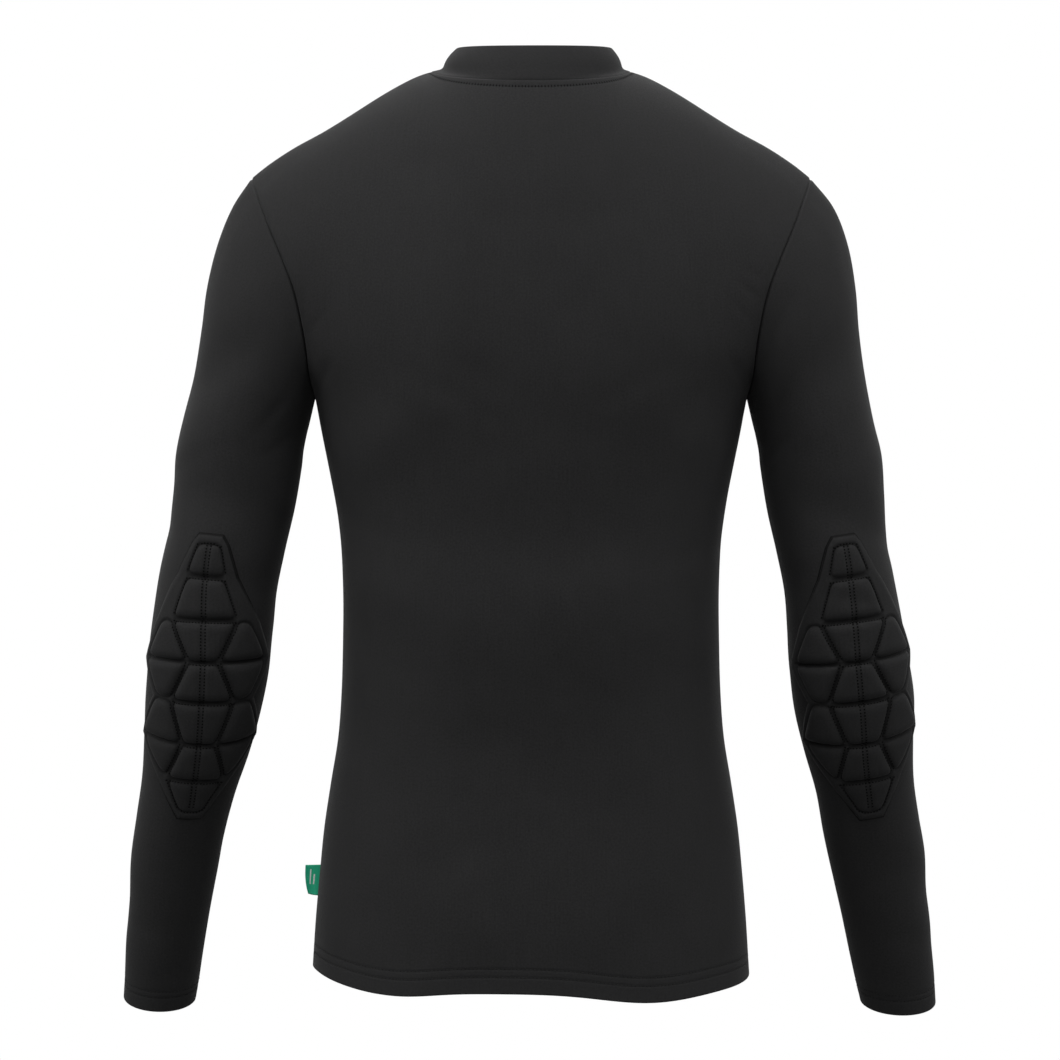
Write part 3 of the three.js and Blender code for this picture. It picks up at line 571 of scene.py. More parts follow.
def knit_finish(name, colour, loop, mottle):
    """A material of fine knit, with its nodes for later use"""
    finish = bpy.data.materials.new(name)
    finish.use_nodes = True
    tree = finish.node_tree
    uv = add_node(tree, "ShaderNodeUVMap", {}, uv_map="cloth")
    values = {"Place": uv.outputs[0], "Colour": (*colour, 1), "Loop": loop, "Mottle": mottle}
    cloth = add_node(tree, "ShaderNodeGroup", values, node_tree=knit)
    values = {"Height": cloth.outputs["Height"], "Distance": 0.00005, "Strength": 0.8}
    bump = add_node(tree, "ShaderNodeBump", values)
    shader = tree.nodes["Principled BSDF"]
    tree.links.new(cloth.outputs["Colour"], shader.inputs["Base Color"])
    tree.links.new(cloth.outputs["Roughness"], shader.inputs["Roughness"])
    tree.links.new(bump.outputs[0], shader.inputs["Normal"])
    shader.inputs["Specular IOR Level"].default_value = 0.12
    shader.inputs["Sheen Weight"].default_value = 0.06
    shader.inputs["Sheen Roughness"].default_value = 0.35
    return finish, tree, cloth, shader


jersey, _, _, _ = knit_finish("black_jersey", (0.0200, 0.0200, 0.0204), 0.55, 0.9)

# Spun polyester thread, its two plies wound round each other, and a near-black disc of painted shade
# for the inside of a needle hole
thread = bpy.data.materials.new("sewing_thread")
thread.use_nodes = True
tree = thread.node_tree
where = add_node(tree, "ShaderNodeTexCoord", {})
values = {"Vector": where.outputs["Object"], "Scale": 900.0, "Distortion": 2.0, "Detail": 1.0}
plies = add_node(tree, "ShaderNodeTexWave", values, bands_direction="DIAGONAL")
# Painted shade: the thread is darker in the grooves between its plies
values = {0: plies.outputs["Fac"], 6: (0.012, 0.012, 0.012, 1), 7: (0.026, 0.026, 0.026, 1)}
colour = add_node(tree, "ShaderNodeMix", values, data_type="RGBA")
bump = add_node(tree, "ShaderNodeBump", {"Height": plies.outputs["Fac"], "Distance": 0.00005})
shader = tree.nodes["Principled BSDF"]
tree.links.new(colour.outputs[2], shader.inputs["Base Color"])
tree.links.new(bump.outputs[0], shader.inputs["Normal"])
shader.inputs["Roughness"].default_value = 0.6
shader.inputs["Specular IOR Level"].default_value = 0.15
# Painted shade: a near-black finish for the discs that stand for the inside of the needle holes
needle_hole_shade = bpy.data.materials.new("needle_hole_shade")
needle_hole_shade.use_nodes = True
tree = needle_hole_shade.node_tree
where = add_node(tree, "ShaderNodeTexCoord", {})
fibres = add_node(tree, "ShaderNodeTexNoise", {"Vector": where.outputs["Object"], "Scale": 1500.0})
colour = add_node(tree, "ShaderNodeValToRGB", {"Fac": fibres.outputs[0]})
colour.color_ramp.elements[0].color = (0.002, 0.002, 0.002, 1)
colour.color_ramp.elements[1].color = (0.007, 0.007, 0.007, 1)
shader = tree.nodes["Principled BSDF"]
tree.links.new(colour.outputs[0], shader.inputs["Base Color"])
shader.inputs["Roughness"].default_value = 0.95
shader.inputs["Specular IOR Level"].default_value = 0.02

HEM_STITCH = dict(pitch=3.0, long=2.5, wide=0.5, hole=(0.26, 0.26))
HEM_STITCH |= dict(thread_paint=thread, hole_shade_paint=needle_hole_shade)
BACK_GAP = 3.1
HEM_DEEP = 19
back_panel = body_panel(1, BACK_FOLDS, BACK_CREASES, BACK_GAP)
hem_rows = int((back_panel["hem"][:, 5] < HEM_DEEP).sum())
back = jersey_piece("back", back_panel, hem_rows, HEM_FOLD, away_from_body)
back.data.materials.append(jersey)
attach(back, "root")
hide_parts("back_panel")
lines = [line_at(back_panel, "hem", height) for height in HEM_STITCHES]
back_hem = stitches("back_hem_stitches", lines, **HEM_STITCH)

# Front
# The front of the body is the same kind of panel with a lower neckline. The photograph doesn't
# show it, so its folds are like those of the back, placed anew.
FRONT_FOLDS = rows_of(
    "x z long wide turn deep",
    [
        (74, -215, 62, 46, 8, 5),
        (-74, -215, 62, 46, -8, 5),
        (0, -300, 130, 24, 90, -5),
        (92, -330, 60, 24, 30, -3),
        (-100, -345, 58, 24, -26, -3),
        (40, -520, 90, 26, -8, -2.5),
        (-70, -610, 60, 26, 64, 3),
    ],
)
FRONT_CREASES = rows_of(
    "x z long wide turn deep",
    [
        (150, -198, 14, 4, -44, -0.7),
        (-148, -204, 13, 3.6, 48, -0.7),
        (-152, -178, 10, 3, 36, -0.5),
        (118, -262, 34, 8, -28, -0.7),
        (-122, -256, 38, 9, 26, -0.8),
        (20, -416, 56, 10, 6, -0.6),
        (-56, -446, 44, 9, -12, -0.5),
        (70, -640, 28, 10, 74, 0.6),
        (104, -560, 36, 9, 58, 0.5),
    ],
)
FRONT_GAP = 3.4
front_panel = body_panel(-1, FRONT_FOLDS, FRONT_CREASES, FRONT_GAP)
front = jersey_piece("front", front_panel, hem_rows, HEM_FOLD, away_from_body)
front.data.materials.append(jersey)
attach(front, "root")
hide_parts("front_panel")
lines = [line_at(front_panel, "hem", height) for height in HEM_STITCHES]
front_hem = stitches("front_hem_stitches", lines, **HEM_STITCH)

# Sleeves
# Each set-in sleeve is one piece of the same jersey, closed by a seam along its inner side, with
# its cuff turned up inside. It hangs filled out, the forearm a little forward of the upper arm.
CAP = columns_of(
    "inner_x inner_z left_x right_x outer_z deep",
    [
        (168, -249, 218, 218, -80, 62),
        (169.6, -254, 233, 236, -103, 61.5),
        (170.6, -259, 244.5, 247, -132, 60.5),
        (171.8, -265, 252.5, 252.9, -165, 59.5),
        (173.3, -272, 256.8, 255.8, -198, 58),
        (175.4, -281, 262.5, 260, -232, 56.5),
        (177.6, -293, 270.8, 265.8, -264, 55),
    ],
)
ARM = columns_of(
    "z left_x left_half right_x right_half y deep",
    [
        (-301, 228, 49.3, 226, 47.4, 1, 53),
        (-332, 231.5, 47.8, 229.5, 46, 3, 51),
        (-363, 237, 46, 234, 43.5, 5, 49),
        (-394, 243.4, 46.1, 239.5, 42.9, 6, 47.5),
        (-425, 247.2, 47, 243.6, 44.6, 6.5, 47),
        (-456, 250.8, 47.3, 247.2, 46.8, 5, 46.5),
        (-488, 255.6, 45.3, 252.1, 46.9, 0, 45),
        (-520, 261.2, 41.6, 256.2, 42.8, -7, 42.5),
        (-552, 268.3, 37.1, 261.8, 38.6, -16, 39.5),
        (-584, 275.5, 35.2, 267.6, 38.1, -25, 37),
        (-616, 281.6, 34.6, 274.7, 37.6, -34.5, 35.2),
        (-650, 287.1, 33, 280.8, 35.3, -45, 33.2),
        (-683, 291.2, 31, 285.8, 32.8, -55, 31.5),
        (-709, 294.2, 29.6, 290.4, 31.2, -62.8, 30.2),
        (-726.3, 296.5, 28.8, 293, 30.2, -68, 29.4),
    ],
)
RIGHT_CUFF_DROP = 3
CUFF_TILT = dict(left=3, right=-1)
SLEEVE_FADE = dict(armhole=4, cuff=1.5, crease=0.5)

# Place round the arm in degrees from its inner side by way of the back
LEFT_FOLDS = rows_of(
    "round z long wide turn deep",
    [
        (118, -225, 52, 24, -35, -3),
        (100, -330, 46, 24, 16, -3),
        (270, -452, 46, 17, 8, -5),
        (280, -330, 46, 24, -20, -3),
        (205, -640, 40, 22, 24, -2.5),
    ],
)
LEFT_CREASES = rows_of(
    "round z long wide turn deep",
    [
        (76, -190, 46, 7, 47, -1.7),
        (60, -262, 22, 5, -52, -0.9),
        (44, -286, 18, 5, -34, -0.8),
        (96, -392, 26, 7, 10, -0.8),
        (134, -300, 34, 8, -18, -0.6),
        (60, -560, 20, 6, -16, -0.6),
        (250, -424, 24, 6, 14, -1.0),
        (284, -484, 24, 6, -10, -1.1),
        (120, -668, 26, 8, 8, -0.6),
        (60, -704, 20, 6, -12, -0.5),
        (310, -610, 22, 7, 20, -0.7),
        (172, -352, 30, 9, 26, -0.6),
    ],
)
RIGHT_FOLDS = rows_of(
    "round z long wide turn deep",
    [
        (112, -232, 48, 22, 32, -3),
        (104, -345, 46, 22, -20, -3.5),
        (272, -458, 46, 17, -8, -5),
        (268, -320, 46, 24, 22, -3),
        (150, -632, 40, 22, -24, -2.5),
    ],
)
RIGHT_CREASES = rows_of(
    "round z long wide turn deep",
    [
        (74, -196, 44, 7, 46, -1.8),
        (56, -258, 20, 5, 50, -0.9),
        (42, -292, 20, 5, 30, -0.8),
        (100, -408, 24, 7, -12, -0.8),
        (140, -288, 30, 8, 20, -0.6),
        (62, -566, 20, 6, 14, -0.6),
        (254, -430, 24, 6, -12, -1.0),
        (288, -490, 24, 6, 12, -1.1),
        (112, -676, 26, 8, -8, -0.6),
        (56, -710, 20, 6, 10, -0.5),
        (300, -620, 22, 7, -18, -0.7),
        (168, -366, 28, 9, -24, -0.6),
    ],
)


def sleeve_rings(side):
    """The middle, half width and half depth of each ellipse down one arm, as vectors"""
    zero = 0 * CAP["deep"]
    inner = np.stack([CAP["inner_x"], zero, CAP["inner_z"]], 1)
    name = "left" if side > 0 else "right"
    outer = np.stack([CAP[name + "_x"], zero, CAP["outer_z"]], 1)
    cap_deep = np.stack([zero, CAP["deep"], zero], 1)
    last = len(ARM["z"]) - 1
    drop = RIGHT_CUFF_DROP * np.arange(last + 1) / last if side < 0 else 0
    middle = np.stack([ARM[name + "_x"], ARM["y"], ARM["z"] - drop], 1)
    before = middle[np.maximum(np.arange(last + 1) - 1, 0)]
    after = middle[np.minimum(np.arange(last + 1) + 1, last)]
    axis = unit(after - before)
    wide = unit(np.stack([-axis[:, 2], 0 * axis[:, 1], axis[:, 0]], 1))
    tilt = math.radians(CUFF_TILT[name])
    wide[-1] = (math.cos(tilt), 0, math.sin(tilt))
    deep = unit(np.cross(wide, axis))
    deep = deep * np.sign(deep[:, 1:2]) * ARM["deep"][:, None]
    rings = dict(
        middle=np.concatenate([(inner + outer) / 2, middle]),
        wide=np.concatenate([(outer - inner) / 2, wide * ARM[name + "_half"][:, None]]),
        deep=np.concatenate([cap_deep, deep]),
    )
    table = {"at": np.arange(len(rings["wide"]), dtype=float)}
    for part, vectors in rings.items():
        for k, axis_name in enumerate("xyz"):
            table[part + axis_name] = vectors[:, k]
    return table


SLEEVE = {1: sleeve_rings(1), -1: sleeve_rings(-1)}
SLEEVE_END = len(CAP["deep"]) + len(ARM["z"]) - 1


def sleeve_part(side, along, part):
    return np.stack([through(SLEEVE[side], "at", along, part + axis) for axis in "xyz"], -1)


def sleeve_surface(side, around, along):
    """A sleeve without its folds: along counts its rings, and around is the angle round it"""
    around, along = np.broadcast_arrays(np.asarray(around, float), np.asarray(along, float))
    cos, sin = -np.cos(around)[..., None], np.sin(around)[..., None]
    ellipse = lambda at: (
        sleeve_part(side, at, "middle")
        + sleeve_part(side, at, "wide") * cos
        + sleeve_part(side, at, "deep") * sin
    )
    to_seam = armhole(around / (4 * QUARTER)) - ellipse(0 * along)
    fade = soft_step(1 - along / (len(CAP["deep"]) - 1))
    return (ellipse(along) + to_seam * fade[..., None]) * np.array([side, 1, 1])


def sleeve_point(side, around, along):
    """A sleeve with its folds, and its outward normals"""
    folds, creases = (LEFT_FOLDS, LEFT_CREASES) if side > 0 else (RIGHT_FOLDS, RIGHT_CREASES)
    smooth = lambda a, b: sleeve_surface(side, a, b)
    around, along = np.broadcast_arrays(np.asarray(around, float), np.asarray(along, float))
    points = smooth(around, along)
    inside = np.clip(along, 0.001, SLEEVE_END - 0.001)
    normals = normal_of(smooth, around, inside, side)
    radius = through(SLEEVE[side], "at", along, "deepy")
    turn = lambda fold: np.radians(fold["round"]) - around
    away = lambda fold: -radius * np.arctan2(np.sin(turn(fold)), np.cos(turn(fold)))
    left = SLEEVE_END - along
    fade = soft_step(along / SLEEVE_FADE["armhole"]) * soft_step(left / SLEEVE_FADE["cuff"])
    near = soft_step(along / SLEEVE_FADE["crease"]) * soft_step(left / SLEEVE_FADE["cuff"])
    deep = fade * fold_depth(folds, away, points[..., 2])
    deep = deep + near * fold_depth(creases, away, points[..., 2])
    return points + normals * deep[..., None], normals


# The turning of the armhole seam runs on under the body panels: how deep and how far under
SLEEVE_TURNING = ((0.9, 0.9), (1.6, 2.4), (2.2, 4.4), (2.6, 6.5))


def sleeve_cloth(side, gap):
    fine = np.linspace(0, SLEEVE_END, 900)
    measure = lengths(sleeve_surface(side, 2 * QUARTER, fine), 0)
    zones = [(0, 4, 0.5), (measure[-1] - 22, measure[-1], 0.75)]
    alongs = np.interp(graded(measure[-1], gap, zones), measure, fine)
    fine = np.linspace(0, 4 * QUARTER, 600)
    measure = lengths(sleeve_surface(side, fine, 9.0), 0)
    zones = [(0, 4, 0.55), (measure[-1] - 4, measure[-1], 0.55)]
    arounds = np.interp(graded(measure[-1], gap, zones), measure, fine)
    around, along = np.meshgrid(arounds, alongs[::-1])
    points, normals = sleeve_point(side, around, along)
    from_cuff, from_seam = lengths(points, 0), lengths(points, 1)
    from_top = from_cuff[-1:] - from_cuff
    from_side = np.minimum(from_seam, from_seam[:, -1:] - from_seam)
    dip = ridge(from_top, 0, SEAM_DIP["wide"]) + 0.7 * ridge(from_side, 0, SEAM_DIP["wide"])
    deep = -SEAM_DIP["deep"] * dip
    for height in CUFF_STITCHES:
        deep = deep - STITCH_DIP["deep"] * ridge(from_cuff, height, STITCH_DIP["wide"])
    points = points + normals * deep[..., None]
    seam = points[-1]
    inward, bodyward = unit(seam.mean(0) - seam), np.array([-side, 0, 0])
    turning = [seam + inward * deeper + bodyward * under for deeper, under in SLEEVE_TURNING]
    points = np.concatenate([points, turning])
    again = lambda rows: np.concatenate([rows, np.repeat(rows[-1:], len(SLEEVE_TURNING), 0)])
    return dict(points=points, normals=again(normals), hem=again(from_cuff), top=again(from_top))


def away_from_arm(side):
    rings = SLEEVE[side]
    heights = rings["middlez"][::-1]

    def outward(middle):
        at = [np.interp(middle[:, 2], heights, rings["middle" + axis][::-1]) for axis in "xy"]
        return np.stack([middle[:, 0] - side * at[0], middle[:, 1] - at[1], 0 * at[0]], -1)

    return outward


CUFF_STITCHES = (11.5, 16.5)
CUFF_DEEP = 18
SLEEVE_GAP = 3.0
left_sleeve_cloth = sleeve_cloth(1, SLEEVE_GAP)
right_sleeve_cloth = sleeve_cloth(-1, SLEEVE_GAP)
cuff_rows = int((left_sleeve_cloth["hem"][:, 5] < CUFF_DEEP).sum())
left_sleeve = jersey_piece("left_sleeve", left_sleeve_cloth, cuff_rows, HEM_FOLD, away_from_arm(1))
right_sleeve = jersey_piece("right_sleeve", right_sleeve_cloth, cuff_rows, HEM_FOLD, away_from_arm(-1))
CUFF_STITCH = HEM_STITCH | dict(pitch=2.8, long=2.3)
for piece, cloth, node in (
    (left_sleeve, left_sleeve_cloth, "sleeve_left"),
    (right_sleeve, right_sleeve_cloth, "sleeve_right"),
):
    piece.data.materials.append(jersey)
    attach(piece, "root")
    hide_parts(node)
    lines = [line_at(cloth, "hem", height) for height in CUFF_STITCHES]
    cuff = stitches(piece.name + "_cuff_stitches", lines, **CUFF_STITCH)

# Neck band
# A low band of the same knit, folded double along its top and seamed to the neckline all round.
# It stands up by itself and leans in a little.
BAND_TOP = dict(half=61, back=50, front=58, z=21, back_drop=4, front_drop=22, bend=1.4, shift=-2.5)
BAND_SWELL = 1.2
BAND_FLARE = dict(share=0.5, reach=0.07, power=1.8)
BAND_HIGH = 24
BAND_FOLD = 1.1
BAND_PLACES = 208
BAND_UNDER = [-0.16, -0.1, -0.05]
BAND_SEAM = dict(lip_reach=11, under=0.7, deep=0.3, wide=0.8)


def band_surface(angle, up):
    angle, up = np.broadcast_arrays(np.asarray(angle, float), np.asarray(up, float))
    foot, away = neckline(angle), np.sin(angle)
    back = away > 0
    depth = np.where(back, BAND_TOP["back"], BAND_TOP["front"])
    drop = np.where(back, BAND_TOP["back_drop"], BAND_TOP["front_drop"])
    x = BAND_TOP["half"] * np.cos(angle) + BAND_TOP["shift"]
    drop = drop * np.abs(away) ** BAND_TOP["bend"]
    top = np.stack([x, depth * away, BAND_TOP["z"] - drop], -1)
    share = BAND_FLARE["share"]
    flare = share * (1 - np.exp(-up / BAND_FLARE["reach"]))
    flare = flare + (1 - share) * np.maximum(up, 0) ** BAND_FLARE["power"]
    lean = mix(up, np.where(up < 0, up, flare), np.cos(angle) ** 2)
    out = np.stack([np.cos(angle), away, 0 * away], -1)
    swell = BAND_SWELL * 4 * up * (1 - up)
    line = [mix(foot[..., k], top[..., k], up if k == 2 else lean) for k in range(3)]
    return np.stack(line, -1) + out * swell[..., None]


def neck_band():
    ups = graded(BAND_HIGH, 0.9, [(BAND_HIGH - 2, BAND_HIGH, 0.45)]) / BAND_HIGH
    ups = np.concatenate([BAND_UNDER, ups])
    angles = np.linspace(0, 4 * QUARTER, BAND_PLACES + 1)[:-1]
    angle, up = np.meshgrid(angles, ups[::-1])
    points = band_surface(angle, up)
    normals = normal_of(band_surface, angle, np.clip(up, 0.001, 0.999), 1)
    from_top = lengths(points, 0)
    foot = len(ups) - 1 - len(BAND_UNDER)
    from_foot = from_top[foot] - from_top
    lip = NECK_LIP * soft_step(1 - from_foot / BAND_SEAM["lip_reach"])
    seam = BAND_SEAM["deep"] * ridge(from_foot, 0, BAND_SEAM["wide"])
    deep = lip - np.where(from_foot < 0, BAND_SEAM["under"], seam)
    points = points + normals * deep[..., None]
    return dict(points=points, normals=normals)


band = neck_band()
inside_rows = band["points"].shape[0] - 1
neck_piece = jersey_piece("neck_band", band, inside_rows, BAND_FOLD, away_from_body, closed=True)
band_finish, _, _, _ = knit_finish("neck_band_jersey", (0.0180, 0.0180, 0.0184), 0.6, 0.8)
neck_piece.data.materials.append(band_finish)
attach(neck_piece, "root")
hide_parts("collar")
NECK_STITCH = HEM_STITCH | dict(pitch=2.5, long=1.4, wide=0.45, hole=(0.42, 1.25))


def neck_line(panel):
    """The line below the neck seam where the seam's turnings are sewn down"""
    middle = np.flatnonzero(np.abs(panel["across"][0]) < NECK_SHARE)
    part = {name: panel[name][::-1][:, middle] for name in ("points", "normals", "top")}
    return line_at(part, "top", NECK_STITCH_LINE)


lines = [neck_line(back_panel), neck_line(front_panel)]
neck_stitches = stitches("neck_stitches", lines, **NECK_STITCH)

# Elbow pads
# A soft foam pad under knit cloth is stitched on the back of each elbow. Zigzag rows of cells are
# quilted in it, and each cell stands up rounded between its pressed channels.
PAD_ROWS = columns_of(
    "at groove side edge",
    [
        (0, 8, 9, 10),
        (8, 9, 12, 15.5),
        (33, 15, 21, 26),
        (34, 15, 22, 27),
        (66, 24.5, 35, 46),
        (67, 24.5, 35.5, 47),
        (98, 11.5, 52, 62),
        (99, 11.5, 52.5, 62),
        (129, 23, 37.5, 45),
        (130, 23, 39, 46),
        (163, 12.5, 52, 60),
        (164, 12.5, 50, 58),
        (193, 21, 24, 33),
        (194, 20.5, 24, 32),
        (221, 9, 12, 14),
        (228, 7.5, 8.5, 9.5),
    ],
)
PAD_BANDS = rows_of(
    "start end top_half foot_half side_top side_foot high",
    [
        (9, 32, 9, 15, 0, 0, 4.6),
        (35.5, 65, 14.5, 24.5, 0, 0, 5.6),
        (68, 97.5, 24.5, 11.5, 35.5, 52, 6.2),
        (99.5, 128.5, 11.5, 23, 52.5, 37.5, 6.4),
        (131, 162.5, 23, 12.5, 39, 52, 6.2),
        (164.5, 192, 12.5, 21, 50, 24, 5.8),
        (195, 220, 20.5, 9, 0, 0, 4.8),
    ],
)
PAD_LENGTH = 228
PAD_TOP_Z = -358
PAD_TURN = {1: (11, -14), -1: (8, -3)}
PAD_SLANT = {1: (3.5, 7), -1: (0, 0)}
PAD_BODY = dict(border=3.1, valley=2.1, rim=0.15, rim_flat=0.9, rim_reach=4.5, seat=0.05)
PAD_CELL = dict(across_gap=0.0, side_gap=1.0, round=0.5, rise=7)
PAD_GROOVE = dict(deep=1.0, wide=0.8)
PAD_CENTRE = dict(deep=1.1, wide=2.4)
PAD_CELL_ENDS = (8, 221)
PAD_SIDE_LOWER = 0.4
PAD_BOW_AT = 50
PAD_UNDER = 0.3
PAD_GRID = (276, 121)

# Grooves across the pad: how far down, half as wide, half the stitched width below each, and how
# far its ends curve down at PAD_BOW_AT from the middle
PAD_GROOVES = columns_of(
    "at half stitched bow",
    [
        (33.8, 15.5, 14.5, -4),
        (66.5, 25, 23.5, -2),
        (98.5, 54, 11, -1.5),
        (129.7, 24, 22.5, -3),
        (163.5, 54, 12, -3),
        (193.5, 20, 20, 1),
    ],
)


def walked_down(side):
    """Ring numbers down the back of a sleeve, and how far each lies below the pad's top edge"""
    alongs = np.arange(len(CAP["deep"]), SLEEVE_END + 0.001, 0.02)
    points, _ = sleeve_point(side, QUARTER, alongs)
    walked = lengths(points, 0)
    start = np.interp(PAD_TOP_Z, points[::-1, 2], walked[::-1])
    return alongs, walked - start


WALKED = {1: walked_down(1), -1: walked_down(-1)}


def pad_seat(side, across, at):
    """Where a place on the flat pad lies on the sleeve, and the sleeve's normal there"""
    alongs, walked = WALKED[side]
    slant = mix(*PAD_SLANT[side], at / PAD_LENGTH) * across / PAD_BOW_AT
    along = np.interp(at + slant, walked, alongs)
    turn = np.radians(mix(*PAD_TURN[side], at / PAD_LENGTH))
    radius = np.linalg.norm(sleeve_part(side, along, "wide"), axis=-1)
    around = QUARTER + turn + across / radius
    points, _ = sleeve_point(side, around, along)
    folded = lambda a, b: sleeve_point(side, a, b)[0]
    return points, normal_of(folded, around, along, side)


def bow_at(at):
    places = np.concatenate([[0], PAD_GROOVES["at"], [PAD_LENGTH]])
    return np.interp(at, places, np.concatenate([[0], PAD_GROOVES["bow"], [0]]))


def pad_cells():
    """The quilted cells as lists of corners (across, at), each with its height"""
    cells = []
    for band_row in PAD_BANDS:
        start, end, high = band_row["start"], band_row["end"], band_row["high"]
        top, foot = band_row["top_half"], band_row["foot_half"]
        cells.append(([(-top, start), (top, start), (foot, end), (-foot, end)], high))
        if band_row["side_top"]:
            far_top, far_foot = band_row["side_top"], band_row["side_foot"]
            shape = [(top, start), (far_top, start), (far_foot, end), (foot, end)]
            cells.append((shape, high - PAD_SIDE_LOWER))
            cells.append(([(-x, y) for x, y in shape[::-1]], high - PAD_SIDE_LOWER))
    return cells


def inside_of(corners, across, at):
    """How far a place lies inside a cell, its corners rounded off"""
    total = 0
    for k, (x, y) in enumerate(corners):
        next_x, next_y = corners[(k + 1) % len(corners)]
        run = math.hypot(next_x - x, next_y - y)
        near = ((next_x - x) * (at - y) - (next_y - y) * (across - x)) / run
        gap = PAD_CELL["across_gap"] if y == next_y else PAD_CELL["side_gap"]
        total = total + np.exp(-PAD_CELL["round"] * (near - gap))
    return -np.log(total) / PAD_CELL["round"]


def rounded(distance, reach):
    share = np.clip(distance / reach, 0, 1)
    return np.sqrt(1 - (1 - share) ** 2)


def pad_form(across, at):
    """How high the pad stands, and how much painted shade darkens its grooves, the outlines of its
    cells and its edge
    """
    edge = np.interp(at, PAD_ROWS["at"], PAD_ROWS["edge"])
    slope = np.gradient(PAD_ROWS["edge"], PAD_ROWS["at"])
    lean = 1 / np.sqrt(1 + np.interp(at, PAD_ROWS["at"], slope) ** 2)
    to_edge = np.minimum((edge - np.abs(across)) * lean, np.minimum(at, PAD_LENGTH - at))
    row = at - bow_at(at) * (across / PAD_BOW_AT) ** 2
    nearest = np.full(across.shape, -1e3)
    puff = np.zeros(across.shape)
    for corners, high in pad_cells():
        inside = inside_of(corners, across, row)
        nearest = np.maximum(nearest, inside)
        puff = np.maximum(puff, (high - PAD_BODY["valley"]) * rounded(inside, PAD_CELL["rise"]))
    groove = 0
    for g, half in zip(PAD_GROOVES["at"], PAD_GROOVES["half"]):
        reach = soft_step((half - np.abs(across)) / 3)
        groove = np.maximum(groove, reach * ridge(row, g, PAD_GROOVE["wide"]))
    high = mix(PAD_BODY["border"], PAD_BODY["valley"], soft_step((nearest + 2.6) / 2.4)) + puff
    inner = soft_step(np.minimum(at - PAD_CELL_ENDS[0], PAD_CELL_ENDS[1] - at) / 3)
    high = high - PAD_CENTRE["deep"] * inner * ridge(across, 0, PAD_CENTRE["wide"])
    high = np.maximum(high - PAD_GROOVE["deep"] * groove, 0.5)
    rise = rounded(to_edge - PAD_BODY["rim_flat"], PAD_BODY["rim_reach"])
    high = PAD_BODY["rim"] + (high - PAD_BODY["rim"]) * rise
    # Painted shade: darker along the pad's edge, beside the outlines of its cells and in its grooves
    rim = 1 - soft_step((to_edge - 1.8) / 0.9)
    beside = 0.5 * ridge(nearest, -0.5, 1.0) * soft_step((to_edge - 2) / 2)
    return high, np.clip(0.35 * groove + 0.95 * rim + beside, 0, 1)


def pad_point(side, across, at):
    seat, normals = pad_seat(side, across, at)
    high, painted_shade = pad_form(across, at)
    return seat + normals * (PAD_BODY["seat"] + high)[..., None], seat, normals, painted_shade


def elbow_pad(name, side):
    ats, shares = np.linspace(0, PAD_LENGTH, PAD_GRID[0]), np.linspace(-1, 1, PAD_GRID[1])
    at, share = np.meshgrid(ats, shares, indexing="ij")
    across = share * np.interp(at, PAD_ROWS["at"], PAD_ROWS["edge"])
    top, seat, normals, painted_shade = pad_point(side, across, at)
    under = seat - normals * PAD_UNDER
    rows, places = top.shape[:2]
    index = np.arange(rows * places).reshape(rows, places)
    quads = lambda grid: np.stack(
        [grid[:-1, :-1], grid[:-1, 1:], grid[1:, 1:], grid[1:, :-1]], -1
    ).reshape(-1, 4)
    lower = index + rows * places
    faces = [quads(index), quads(lower)[:, ::-1]]
    for line, below in (
        (index[0], lower[0]),
        (index[:, -1], lower[:, -1]),
        (index[-1, ::-1], lower[-1, ::-1]),
        (index[::-1, 0], lower[::-1, 0]),
    ):
        faces.append(np.stack([line[1:], line[:-1], below[:-1], below[1:]], 1))
    faces = np.concatenate(faces)
    if side < 0:
        faces = faces[:, ::-1]
    flat = np.concatenate([top.reshape(-1, 3), under.reshape(-1, 3)])
    flat_uv = np.stack([across, at], -1).reshape(-1, 2)
    flat_uv = np.concatenate([flat_uv, flat_uv])
    mesh = bpy.data.meshes.new(name)
    mesh.from_pydata((flat * 0.001).tolist(), [], faces.tolist())
    layer = mesh.uv_layers.new(name="cloth")
    layer.data.foreach_set("uv", flat_uv[faces.reshape(-1)].reshape(-1).astype(np.float32))
    # The painted shade of the grooves, cell outlines and edge is kept on the mesh for its material
    painted_shade_attribute = mesh.attributes.new("painted_shade", "FLOAT", "POINT")
    painted_shade_attribute.data.foreach_set("value", np.tile(painted_shade.reshape(-1), 2).astype(np.float32))
    mesh.polygons.foreach_set("use_smooth", [True] * len(mesh.polygons))
    mesh.materials.append(quilt)
    piece = bpy.data.objects.new(name, mesh)
    bpy.context.scene.collection.objects.link(piece)
    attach(piece, "root")
    return piece


def pad_stitch_lines(side):
    """Two rows down the middle and beside each middle cell, and one below each groove"""
    flat_lines = []
    for x in (-1.5, 1.5):
        flat_lines.append([(x, 10), (x, 218)])
    for band_row in PAD_BANDS:
        for turn in (1, -1):
            start = np.array([turn * band_row["top_half"], band_row["start"] + 0.6])
            end = np.array([turn * band_row["foot_half"], band_row["end"] - 0.6])
            beside = unit(np.array([end[1] - start[1], start[0] - end[0]]))
            for shift in (-1.5, 1.5) if band_row["side_top"] else (0,):
                flat_lines.append([start + beside * shift, end + beside * shift])
    for g, half in zip(PAD_GROOVES["at"], PAD_GROOVES["stitched"]):
        flat_lines.append([(-half, g + 2.1), (half, g + 2.1)])
    flat_lines.append([(-8, 10), (-4, 8), (4, 8), (8, 10)])
    flat_lines.append([(-8.5, 219), (-4, 221), (4, 221), (8.5, 219)])
    lines = []
    for corners in flat_lines:
        corners = np.array(corners, float)
        walk = lengths(corners, 0)
        fine = np.linspace(0, walk[-1], int(walk[-1] / 0.6) + 2)
        across, row = (np.interp(fine, walk, corners[:, k]) for k in (0, 1))
        at = row + bow_at(row) * (across / PAD_BOW_AT) ** 2
        points, _, normals, _ = pad_point(side, across, at)
        lines.append((points, normals))
    return lines
